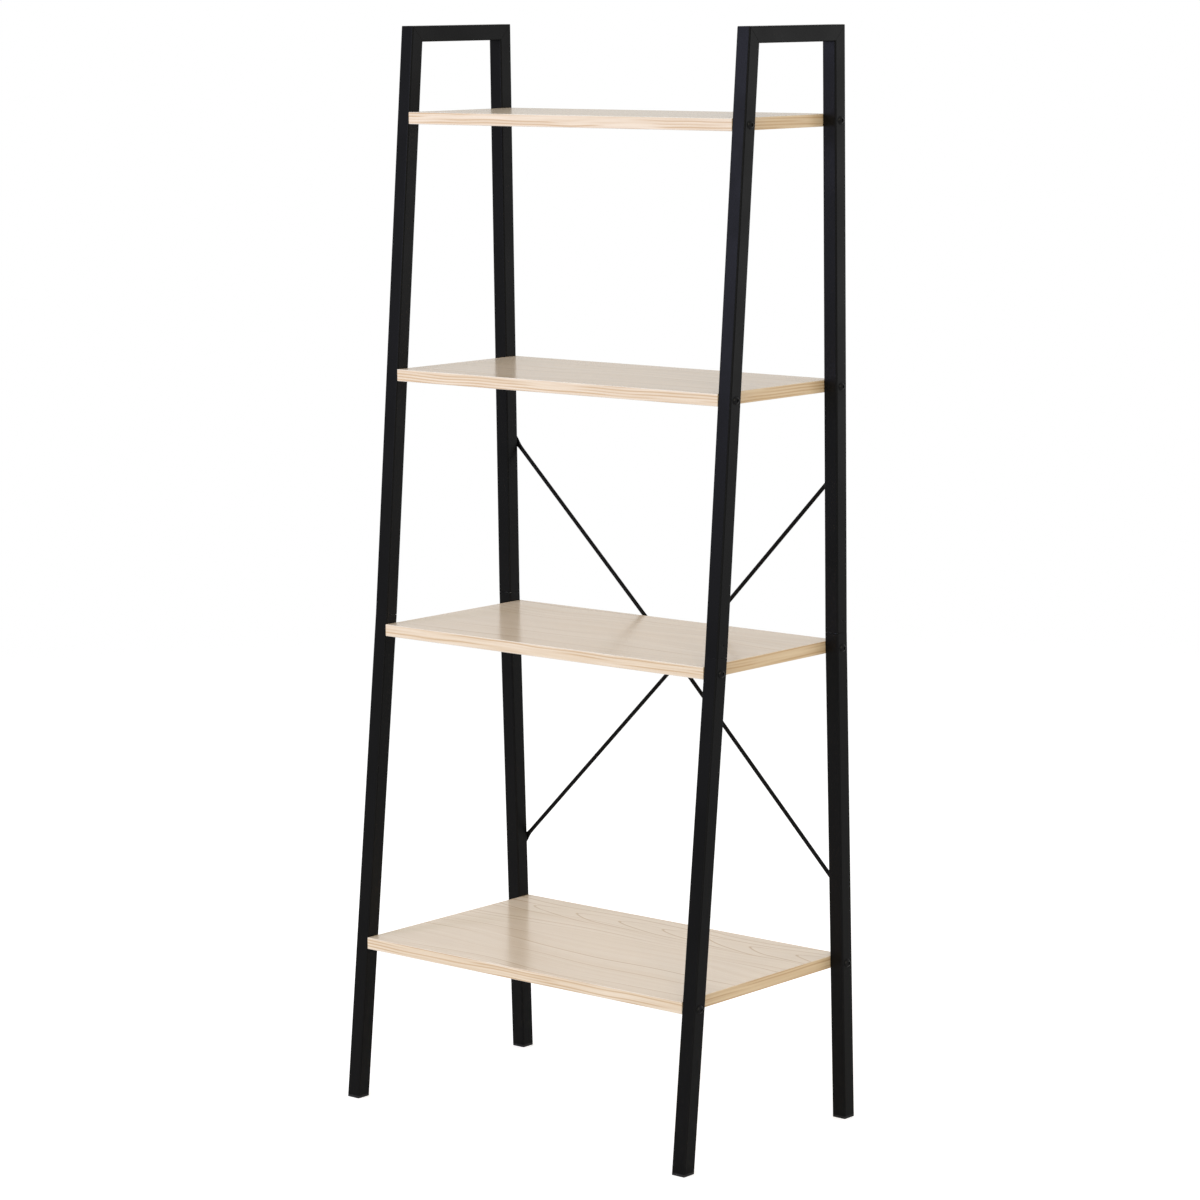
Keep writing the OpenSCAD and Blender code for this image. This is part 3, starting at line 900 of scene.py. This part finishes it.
FINISHES = {
    "frame_steel": powder_coat,
    "screw_black": black_screw_steel,
    "zinc_steel": zinc_plate,
    "foot_plastic": foot_plastic,
    "oak_board": oak_decor,
    "oak_band": oak_band,
}


def finish_for(slot):
    """The material for one of the record's slots, made the first time it is asked for."""
    made = next((known for known in bpy.data.materials if known.get("shelf_slot") == slot), None)
    if made is None:
        made = FINISHES[slot](bpy.context.scene.shelf_finishes)
        made["shelf_slot"] = slot
    return made


def grain_values(points, along_y, plank):
    """Coordinates with the grain along X, moved by a different amount for each plank so that
    no two pieces show the same figure."""
    x, y, z = points.T
    if along_y:
        x, y = y, x
    shift = np.array([0.61, 0.17, 0.0]) * plank + np.array([0.0, 0.35 * (plank % 3), 0.0])
    return np.stack([x, y, z], 1) + shift


# ------------------------------------------------------------------ sizes and colours


def amount(name, description, default, **kind):
    """A number property with its unit or its subtype, if it has one."""
    return bpy.props.FloatProperty(name=name, description=description, default=default, **kind)


def metres(name, description, default):
    """A length property in metres."""
    return amount(name, description, default, unit="LENGTH")


def colour(name, description, default):
    """A colour property in linear red, green and blue."""
    return bpy.props.FloatVectorProperty(
        name=name, description=description, default=default, subtype="COLOR", size=3, min=0, max=1
    )


class ShelfFrameSizes(bpy.types.PropertyGroup):
    wall: metres("Tube wall", "Thickness of the tube's wall", 0.0012)
    radius: metres("Tube corner", "Outside corner radius of the tube", 0.002)
    ease: metres("Cut ease", "Rounding of the tube's rim where it was cut", 0.0003)
    dimple_ball: metres("Dimple ball", "Radius of the ball that presses a joint's dimple", 0.003)
    dimple_depth: metres("Dimple depth", "Depth of a joint's dimple", 0.0006)
    dimple_up: metres("Dimple height", "Height of a dimple above the joint", 0.015)
    foot_ease: metres("Foot ease", "Rounding of the foot plug's lower rim", 0.0007)


class ShelfBoardSizes(bpy.types.PropertyGroup):
    band_ease: metres("Band ease", "Rounding of the long corners of the front and back bands", 0.0008)
    small_ease: metres("Small ease", "Rounding of the other edges of boards and bands", 0.00012)


class ShelfScrewSizes(bpy.types.PropertyGroup):
    diameter: metres("Screw", "Thread diameter of the shelf screws", 0.006)
    length: metres("Screw length", "Length of a shelf screw under its head", 0.035)
    head_height: metres("Head height", "Height of a shelf screw's head", 0.0033)
    socket: metres("Socket", "Width across the flats of the socket", 0.004)


class ShelfBraceSizes(bpy.types.PropertyGroup):
    rod_diameter: metres("Rod", "Diameter of a brace rod", 0.005)
    flat_thickness: metres("Flat", "Thickness of a rod's flattened ends and middle", 0.0024)
    flat_width: metres("Flat width", "Width of a rod's flattened ends", 0.011)
    flat_length: metres("Flat length", "How far a flattened end goes past its screw", 0.016)
    middle_width: metres("Middle width", "Width of a rod's flattened middle", 0.009)
    middle_length: metres("Middle length", "Length of a rod's flattened middle", 0.018)
    head_diameter: metres("Head", "Diameter of a brace screw's head", 0.0095)
    head_height: metres("Head height", "Height of a brace screw's head", 0.00275)
    screw_length: metres("Screw length", "Length of a brace screw under its head", 0.012)
    nut_flange: metres("Nut flange", "Thickness of a rivet nut's flange", 0.0008)
    rivet_height: metres("Rivet head", "Height of the rivet's heads", 0.0016)


class ShelfFinishes(bpy.types.PropertyGroup):
    coat: colour("Powder coat", "Colour of the coat on the tubes and rods", (0.0028, 0.0028, 0.0030))
    coat_roughness: amount("Coat roughness", "Roughness of the powder coat", 0.37, subtype="FACTOR")
    coat_gloss: amount("Coat gloss", "Strength of the powder coat's reflection", 0.112, subtype="FACTOR")
    screw: colour("Screws", "Colour of the screws and the rivet", (0.005, 0.005, 0.0055))
    zinc: colour("Zinc", "Colour of the zinc plating", (0.60, 0.62, 0.64))
    plastic: colour("Foot plastic", "Colour of the foot plugs", (0.010, 0.010, 0.011))
    oak_light: colour("Oak, light", "Lightest tone of the boards", (0.935, 0.805, 0.645))
    oak_dark: colour("Oak, dark", "Darker tone of the boards' streaks", (0.885, 0.745, 0.580))
    oak_vein: colour("Oak, vein", "Tone of the boards' growth rings and pores", (0.630, 0.440, 0.255))
    board_roughness: amount("Board roughness", "Roughness of the boards' film", 0.17, subtype="FACTOR")
    band_light: colour("Band, light", "Lightest tone of the edge bands", (0.950, 0.820, 0.665))
    band_dark: colour("Band, dark", "Darker tone of the edge bands", (0.900, 0.755, 0.580))
    band_line: colour("Band, line", "Tone of the fine lines on the edge bands", (0.640, 0.425, 0.225))
    # Pale tone on the bands' rounded corners: partly their whitened trim, partly a painted highlight.
    band_corner_highlight: colour(
        "Band, corner highlight", "Tone of the trimmed corners of the edge bands", (0.930, 0.900, 0.860)
    )


class ShelfStage(bpy.types.PropertyGroup):
    floor: colour("Floor", "Colour of the floor", (0.80, 0.80, 0.80))
    floor_radius: metres("Floor radius", "Radius of the floor", 4.0)
    front_strength: amount("Front light", "Strength of the broad far light at the front right", 0.62)
    side_strength: amount("Side light", "Strength of the far light on the right", 0.2)
    rim_strength: amount("Back light", "Strength of the broad far light behind on the left", 0.26)
    left_power: amount("Left box", "Power of the narrow soft box at the front left", 8.4, unit="POWER")
    back_power: amount("Back box", "Power of the soft box at the back right", 5.2, unit="POWER")
    surround: amount("Surround", "Brightness of the room that lights the shelf", 0.6)
    floor_glow: amount("Floor glow", "Brightness that the floor has where it is seen directly", 0.6)
    lens: amount("Lens", "Focal length of the camera in millimetres", 118.5)
    azimuth: amount(
        "Azimuth",
        "Angle of the camera round the shelf from its front, towards its right side",
        math.radians(40.673),
        subtype="ANGLE",
    )
    pitch: amount(
        "Pitch", "Angle by which the camera looks down", math.radians(8.826), subtype="ANGLE"
    )
    roll: amount(
        "Roll",
        "Turn of the camera about its own line of sight",
        math.radians(-0.455),
        subtype="ANGLE",
    )
    place: bpy.props.FloatVectorProperty(
        name="Camera place",
        description="Position of the camera",
        default=(3.1774, -3.6864, 1.40685),
        subtype="XYZ",
        unit="LENGTH",
    )


# ------------------------------------------------------------------ operators


class SHELF_OT_legs(bpy.types.Operator):
    """Builds the eight leg tubes: square cut at the joint, mitred at the top, level at the foot"""

    bl_idname = "ladder_shelf.legs"
    bl_label = "Legs"

    def execute(self, context):
        sizes = context.scene.shelf_frame
        dimple = np.linspace(-0.0024, 0.0024, 13) + sizes.dimple_up
        close = np.concatenate([dimple, [0.006, 0.03, 0.06]])
        for side, sign in SIDES.items():
            shares = side_shares(0 if sign > 0 else 2)
            for end in ENDS:
                axes = leg_axes(side, end, upper=True)
                length = (TOP_Z - JOINT_Z) / axes[3][2]
                stations = np.unique(np.concatenate([close / length, np.linspace(0.1, 0.97, 10)]))
                planes = (axes[0], axes[3]), mitre_plane(end)
                points, faces, edge = tube_skin(axes, sizes, shares, *planes, stations)
                points = press_dimple(points, axes, sign, sizes)
                add_piece(f"{side}_{end}_upper_leg", (points, faces), "frame_steel", {"edge": edge})
                axes = leg_axes(side, end, upper=False)
                node = f"{side}_{end}_lower_leg"
                level = np.array([0.0, 0.0, corners(node)[0][2]])
                planes, stations = ((level, UP), (axes[0], axes[3])), np.linspace(0.02, 0.98, 11)
                points, faces, edge = tube_skin(axes, sizes, side_shares(None), *planes, stations)
                add_piece(node, (points, faces), "frame_steel", {"edge": edge})
        return {"FINISHED"}


class SHELF_OT_top_bars(bpy.types.Operator):
    """Builds the two top bars, mitred to the legs at both ends"""

    bl_idname = "ladder_shelf.top_bars"
    bl_label = "Top bars"

    def execute(self, context):
        sizes = context.scene.shelf_frame
        for side, sign in SIDES.items():
            start = np.array([sign * LEG_X, 0.0, TOP_Z - TUBE / 2])
            axes = (start, ACROSS, UP, np.array([0.0, 1.0, 0.0]))
            planes, stations = map(mitre_plane, ENDS), np.linspace(0.05, 0.95, 7)
            points, faces, edge = tube_skin(axes, sizes, side_shares(None), *planes, stations)
            add_piece(f"{side}_top_bar", (points, faces), "frame_steel", {"edge": edge})
        return {"FINISHED"}


class SHELF_OT_feet(bpy.types.Operator):
    """Builds the four foot plugs: a rim that stands on the floor, and a stem up inside the tube"""

    bl_idname = "ladder_shelf.feet"
    bl_label = "Feet"

    def execute(self, context):
        sizes = context.scene.shelf_frame
        shares, ease = side_shares(None), sizes.foot_ease
        stem, stem_radius = TUBE - 2 * sizes.wall - 0.0002, 0.0008
        for side in SIDES:
            for end in ENDS:
                node = f"{side}_{end}_foot"
                rim = corners(f"{side}_{end}_lower_leg")[0][2]
                top = corners(node)[1][2]
                axes = leg_axes(side, end, upper=False)
                pad = [(inset, rise, 1.0) for inset, rise in zip(*quarter_turn(ease, 5))]
                pad += [(0.0, 1.5 * ease, 0.0), (0.0, rim - 0.0005, 0.0), (0.0, rim - 0.0003, 0.2)]
                pad += [(0.0001, rim - 0.0001, 1.0), (0.0003, rim, 1.0)]
                plug = [(0.0, rim, 0.0), (0.0, top - 0.002, 0.0), (0.0006, top - 0.0005, 0.0)]
                rings, edge = [], []
                for width, radius, rows in ((TUBE, sizes.radius, pad), (stem, stem_radius, plug)):
                    for inset, height, worn in rows:
                        inner = width - 2 * inset
                        outline, near = rounded_outline(inner, inner, radius - inset, shares)
                        lengths = cut_lengths(axes, outline, (height * UP, UP))
                        rings.append(placed(axes, outline, lengths))
                        edge.append(np.maximum(near, worn))
                values = {"edge": np.concatenate(edge)}
                add_piece(node, closed_skin(np.array(rings)), "foot_plastic", values)
        return {"FINISHED"}


class SHELF_OT_boards(bpy.types.Operator):
    """Builds the four boards with their decor faces"""

    bl_idname = "ladder_shelf.boards"
    bl_label = "Boards"

    def execute(self, context):
        ease = context.scene.shelf_boards.small_ease
        for plank, tier in enumerate(TIERS):
            node = f"{tier}_shelf_board"
            low, high = corners(node)
            middle, size = (low + high) / 2, high - low
            axes = (np.array([low[0], middle[1], middle[2]]), np.array([0.0, 1.0, 0.0]), UP, ACROSS)
            shares = [even_shares(size[2 - quarter % 2], 2 * ease) for quarter in range(4)]

            def section(inset):
                depth, thickness = size[1:] - 2 * inset
                return rounded_outline(depth, thickness, ease * 1.5 - inset, shares, 3)[0]

            rings = eased_bar(axes, section, size[0], ease)
            points, faces = closed_skin(rings)
            values = {"grain": grain_values(points, False, plank)}
            add_piece(node, (points, faces), "oak_board", values, sharp=50)
        return {"FINISHED"}


class SHELF_OT_bands(bpy.types.Operator):
    """Builds the sixteen edge bands, those along the front and back with eased long corners"""

    bl_idname = "ladder_shelf.bands"
    bl_label = "Edge bands"

    def execute(self, context):
        sizes = context.scene.shelf_boards
        for row, tier in enumerate(TIERS):
            for number, place in enumerate(("front", "rear", "left", "right")):
                node = f"{tier}_shelf_{place}_band"
                low, high = corners(node)
                middle, size = (low + high) / 2, high - low
                long = place in ENDS
                run = 0 if long else 1
                thick, ease = size[1 - run], sizes.band_ease if long else sizes.small_ease * 1.5
                outward = ENDS[place] if long else SIDES[place]

                def section(inset):
                    return band_outline(size[2], thick, ease, inset)[0]

                start = middle.copy()
                start[run] = low[run]
                out, along = np.zeros(3), np.zeros(3)
                out[1 - run], along[run] = outward, 1.0
                rings = eased_bar((start, UP, out, along), section, size[run], sizes.small_ease)
                edge = np.tile(band_outline(size[2], thick, ease)[1], len(rings))
                points, faces = closed_skin(rings)
                values = {"grain": self.grain(points, run, row * 4 + number), "edge": edge}
                # Painted shade: the bands on the short sides are marked for the darker, warmer tint.
                values["painted_side_shade"] = np.full(len(points), 0.0 if long else 1.0)
                add_piece(node, (points, faces), "oak_band", values, sharp=50)
        return {"FINISHED"}

    @staticmethod
    def grain(points, run, plank):
        """Length along the band, height across it and thickness through it, moved for each plank."""
        along, across, through = points[:, run], points[:, 2], points[:, 1 - run]
        shift = np.array([0.37 * plank, 0.045 + 0.013 * (plank % 5), 0.0])
        return np.stack([along, across - across.mean(), through], 1) + shift


class SHELF_OT_shelf_screws(bpy.types.Operator):
    """Builds the sixteen shelf screws, four to a board, through the outer faces of the legs"""

    bl_idname = "ladder_shelf.shelf_screws"
    bl_label = "Shelf screws"

    def execute(self, context):
        sizes = context.scene.shelf_screws
        for row, tier in enumerate(TIERS):
            node = f"{tier}_shelf_screws"
            low, high = corners(node)
            head = high[2] - low[2]
            points, faces, edge = round_head_screw(
                sizes.diameter, sizes.length, head, sizes.head_height, sizes.socket
            )
            height = (low[2] + high[2]) / 2
            rows = low[1] + head / 2, high[1] - head / 2
            places = []
            for number, (side, y) in enumerate((side, y) for side in SIDES.values() for y in rows):
                start = np.array([side * (LEG_X + TUBE / 2), y, height])
                turn = 0.7 + 1.9 * number + 0.8 * row
                x = np.array([0.0, math.cos(turn), math.sin(turn)])
                out = np.array([side, 0.0, 0.0])
                places.append((start, x, np.cross(out, x), out))
            values = {"edge": np.tile(edge, len(places))}
            add_piece(node, repeated(points, faces, places), "screw_black", values)
        return {"FINISHED"}


class SHELF_OT_brace_rods(bpy.types.Operator):
    """Builds the two crossed rods with their flattened ends and middles"""

    bl_idname = "ladder_shelf.brace_rods"
    bl_label = "Brace rods"

    def execute(self, context):
        sizes = context.scene.shelf_brace
        low, high = corners("brace_rivet")
        middle_y = (low[1] + high[1]) / 2
        for node, side, off in (("brace_rod_inner", -1.0, -0.5), ("brace_rod_outer", 1.0, 0.5)):
            skin, edge = rod_skin(rod_path(side, middle_y + off * sizes.flat_thickness, sizes), sizes)
            add_piece(node, skin, "frame_steel", {"edge": edge}, sharp=60)
        return {"FINISHED"}


class SHELF_OT_brace_fasteners(bpy.types.Operator):
    """Builds the brace's four screws, its four rivet nuts and the rivet in its middle"""

    bl_idname = "ladder_shelf.brace_fasteners"
    bl_label = "Brace fasteners"

    def execute(self, context):
        sizes = context.scene.shelf_brace
        thread, socket = 0.005, 0.003
        points, faces, edge = round_head_screw(
            thread, sizes.screw_length, sizes.head_diameter, sizes.head_height, socket
        )
        skin = repeated(points, faces, outward_places(sizes.nut_flange + sizes.flat_thickness, sizes))
        add_piece("brace_screws", skin, "screw_black", {"edge": np.tile(edge, 4)})

        t = sizes.nut_flange
        profile = [(0.0022, -0.011), (0.0034, -0.0108), (0.0035, -0.0104), (0.0035, -0.0001)]
        profile += [(0.0036, 0.0), (0.0048, 0.0), (0.005, 0.0002), (0.005, t - 0.0002), (0.0048, t)]
        profile += [(0.0026, t), (0.0022, t - 0.0003)]
        skin = repeated(*plain_turned_skin(profile), outward_places(0.0, sizes))
        add_piece("brace_nuts", skin, "zinc_steel")

        low, high = corners("brace_rivet")
        radius = (high[0] - low[0]) / 2
        h, seat = sizes.rivet_height, sizes.flat_thickness
        ball = (radius**2 + h**2) / (2 * h)
        out = np.linspace(0.0003, radius * 0.985, 9)
        rise = seat + h - ball + np.sqrt(ball**2 - out**2)
        half = [*zip(out, rise), (radius, seat + 0.08 * h), (radius - 0.03 * h, seat), (0.0025, seat)]
        profile = half + [(r, -z) for r, z in half[::-1]]
        points, faces = plain_turned_skin(profile)
        middle = (low + high) / 2
        skin = repeated(points, faces, [(middle, ACROSS, UP, np.array([0.0, -1.0, 0.0]))])
        add_piece("brace_rivet", skin, "screw_black")
        return {"FINISHED"}


class SHELF_OT_plated_parts(bpy.types.Operator):
    """Gives the sleeves and the threaded inserts, whose CAD shapes stay, their zinc plating"""

    bl_idname = "ladder_shelf.plated_parts"
    bl_label = "Plated parts"

    def execute(self, context):
        kept = [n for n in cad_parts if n.endswith(("_joint_sleeve", "_shelf_inserts"))]
        for node in kept:
            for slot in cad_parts[node].material_slots:
                slot.material = finish_for("zinc_steel")
        return {"FINISHED"}


class SHELF_OT_stage(bpy.types.Operator):
    """Lays the pale floor and sets the soft lights, the surround and the camera"""

    bl_idname = "ladder_shelf.stage"
    bl_label = "Stage"

    def execute(self, context):
        stage = context.scene.shelf_stage
        self.lay_floor(stage)
        self.light_surround(context.scene, stage)
        middle = np.array([LEG_X, 0.0, 0.8 * TOP_Z])
        for name, azimuth, elevation, angle, strength, colour in (
            ("front_light", 30.0, 20.0, 35.0, stage.front_strength, (1.10, 1.07, 0.83)),
            ("back_light", -140.0, 35.0, 35.0, stage.rim_strength, (1.05, 1.03, 0.92)),
            ("side_light", 52.0, 32.0, 13.0, stage.side_strength, (1.25, 1.0, 0.7)),
        ):
            self.far_light(name, azimuth, elevation, angle, strength, colour)
        for name, place, size, power, colour in (
            ("left_box", (-0.88, -1.65, 1.5), (0.5, 1.15), stage.left_power, (0.84, 0.865, 1.295)),
            ("back_box", (1.9, 2.0, 1.1), (1.0, 1.2), stage.back_power, (1.0, 1.0, 1.0)),
        ):
            self.soft_box(name, place, middle, size, power, colour)
        self.set_camera(context.scene, stage)
        context.scene.view_settings.view_transform = "Standard"
        return {"FINISHED"}

    @staticmethod
    def lay_floor(stage):
        """A flat round floor: radius times cosine and sine on rings that widen outwards. It
        fades out between two distances from its middle."""
        spokes, fade_from, fade_to = 96, 1.2, 0.95 * stage.floor_radius
        radii = np.concatenate([[0.001], np.linspace(0, 1, 24)[1:] ** 1.5]) * stage.floor_radius
        angle = np.arange(spokes) * 2 * np.pi / spokes
        x, y = radii[:, None] * np.cos(angle), radii[:, None] * np.sin(angle)
        points = np.stack([x, y, np.zeros_like(x)], -1).reshape(-1, 3)
        mesh = bpy.data.meshes.new("floor")
        faces = strip_faces(len(radii), spokes, False).tolist() + [list(range(spokes))]
        mesh.from_pydata(points.tolist(), [], faces)
        material, tree, shader = new_finish("Pale floor")
        vector = object_vector(tree)
        coat = placed_group(tree, "Coat texture", {"Vector": vector, "Size": 0.004}).outputs
        base = np.array(stage.floor[:3])
        tone = mixed(tree, coat["Mottle"], base * 0.995, base)
        tree.links.new(tone, shader.inputs["Base Color"])
        set_shader(shader, Roughness=0.9, Specular_IOR_Level=0.1)
        shader.inputs["Emission Color"].default_value = (1.0, 1.0, 1.0, 1.0)
        seen = wire(tree, "ShaderNodeLightPath").outputs["Is Camera Ray"]
        glow = calc(tree, "MULTIPLY", seen, stage.floor_glow)
        tree.links.new(glow, shader.inputs["Emission Strength"])
        away = wire(tree, "ShaderNodeVectorMath", {0: vector}, operation="LENGTH").outputs["Value"]
        clear = wire(tree, "ShaderNodeBsdfTransparent")
        blend = wire(tree, "ShaderNodeMixShader", {0: band_of(tree, away, fade_from, fade_to)})
        tree.links.new(shader.outputs[0], blend.inputs[1])
        tree.links.new(clear.outputs[0], blend.inputs[2])
        tree.links.new(blend.outputs[0], tree.nodes["Material Output"].inputs["Surface"])
        mesh.materials.append(material)
        floor = bpy.data.objects.new("floor", mesh)
        bpy.context.scene.collection.objects.link(floor)

    @staticmethod
    def light_surround(scene, stage):
        """A white room: bright where it is seen directly, dimmer as a light on the shelf."""
        world = bpy.data.worlds.new("surround")
        scene.world = world
        world.use_nodes = True
        tree = world.node_tree
        background = tree.nodes["Background"]
        seen = wire(tree, "ShaderNodeLightPath").outputs["Is Camera Ray"]
        levels = {"Value": seen, "To Min": stage.surround, "To Max": 1.0}
        strength = wire(tree, "ShaderNodeMapRange", levels)
        background.inputs["Color"].default_value = (1.0, 1.0, 1.0, 1.0)
        tree.links.new(strength.outputs[0], background.inputs["Strength"])

    @staticmethod
    def face_back(lamp, place, back):
        """Puts a lamp at a place with its local Z along back, so that it shines the other way."""
        back = unit(np.array(back))
        right = unit(np.cross(UP, back))
        lamp.matrix_world = matrix_of(right, np.cross(back, right), back, place)
        bpy.context.scene.collection.objects.link(lamp)

    def soft_box(self, name, place, target, size, power, colour):
        """A soft rectangular light that faces its target."""
        data = bpy.data.lights.new(name, "AREA")
        data.shape, data.size, data.size_y = "RECTANGLE", size[0], size[1]
        data.energy, data.color = power, colour
        self.face_back(bpy.data.objects.new(name, data), place, np.array(place) - target)

    def far_light(self, name, azimuth, elevation, angle, strength, colour):
        """A far light from an azimuth round the shelf and an elevation, as wide as an angle, all
        in degrees."""
        data = bpy.data.lights.new(name, "SUN")
        data.energy, data.color, data.angle = strength, colour, math.radians(angle)
        a, e = math.radians(azimuth), math.radians(elevation)
        back = (math.sin(a) * math.cos(e), -math.cos(a) * math.cos(e), math.sin(e))
        self.face_back(bpy.data.objects.new(name, data), np.zeros(3), back)

    @staticmethod
    def set_camera(scene, stage):
        """A camera at its place: the line of sight from the azimuth and the pitch, then the roll."""
        data = bpy.data.cameras.new("camera")
        data.sensor_width, data.lens = 36.0, stage.lens
        data.clip_start, data.clip_end = 0.05, 60.0
        camera = bpy.data.objects.new("camera", data)
        scene.collection.objects.link(camera)
        a, p, r = stage.azimuth, stage.pitch, stage.roll
        sight = np.array([-math.sin(a) * math.cos(p), math.cos(a) * math.cos(p), -math.sin(p)])
        right = np.array([math.cos(a), math.sin(a), 0.0])
        top = np.cross(right, sight)
        x = math.cos(r) * right + math.sin(r) * top
        y = math.cos(r) * top - math.sin(r) * right
        camera.matrix_world = matrix_of(x, y, -sight, np.array(stage.place))
        scene.camera = camera


OPERATORS = (
    SHELF_OT_legs,
    SHELF_OT_top_bars,
    SHELF_OT_feet,
    SHELF_OT_boards,
    SHELF_OT_bands,
    SHELF_OT_shelf_screws,
    SHELF_OT_brace_rods,
    SHELF_OT_brace_fasteners,
    SHELF_OT_plated_parts,
    SHELF_OT_stage,
)
SETTINGS = {
    "shelf_frame": ShelfFrameSizes,
    "shelf_boards": ShelfBoardSizes,
    "shelf_screws": ShelfScrewSizes,
    "shelf_brace": ShelfBraceSizes,
    "shelf_finishes": ShelfFinishes,
    "shelf_stage": ShelfStage,
}


class SHELF_PT_panel(bpy.types.Panel):
    """Lists the shelf's sizes, colours and operators"""

    bl_label = "Ladder shelf"
    bl_idname = "SHELF_PT_panel"
    bl_space_type = "VIEW_3D"
    bl_region_type = "UI"
    bl_category = "Ladder shelf"

    def draw(self, context):
        for name in SETTINGS:
            box = self.layout.box()
            group = getattr(context.scene, name)
            for key in group.__annotations__:
                box.prop(group, key)
        for operator in OPERATORS:
            self.layout.operator(operator.bl_idname)


def register():
    """Registers the settings, the operators and the panel."""
    for name, settings in SETTINGS.items():
        bpy.utils.register_class(settings)
        setattr(bpy.types.Scene, name, bpy.props.PointerProperty(type=settings))
    for cls in (*OPERATORS, SHELF_PT_panel):
        bpy.utils.register_class(cls)


def unregister():
    """Takes them away again, in the opposite order."""
    for cls in (SHELF_PT_panel, *OPERATORS[::-1]):
        bpy.utils.unregister_class(cls)
    for name, settings in reversed(SETTINGS.items()):
        delattr(bpy.types.Scene, name)
        bpy.utils.unregister_class(settings)


def main():
    """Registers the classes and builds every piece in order."""
    register()
    for operator in OPERATORS:
        family, name = operator.bl_idname.split(".")
        getattr(getattr(bpy.ops, family), name)()


if __name__ == "__main__":
    main()
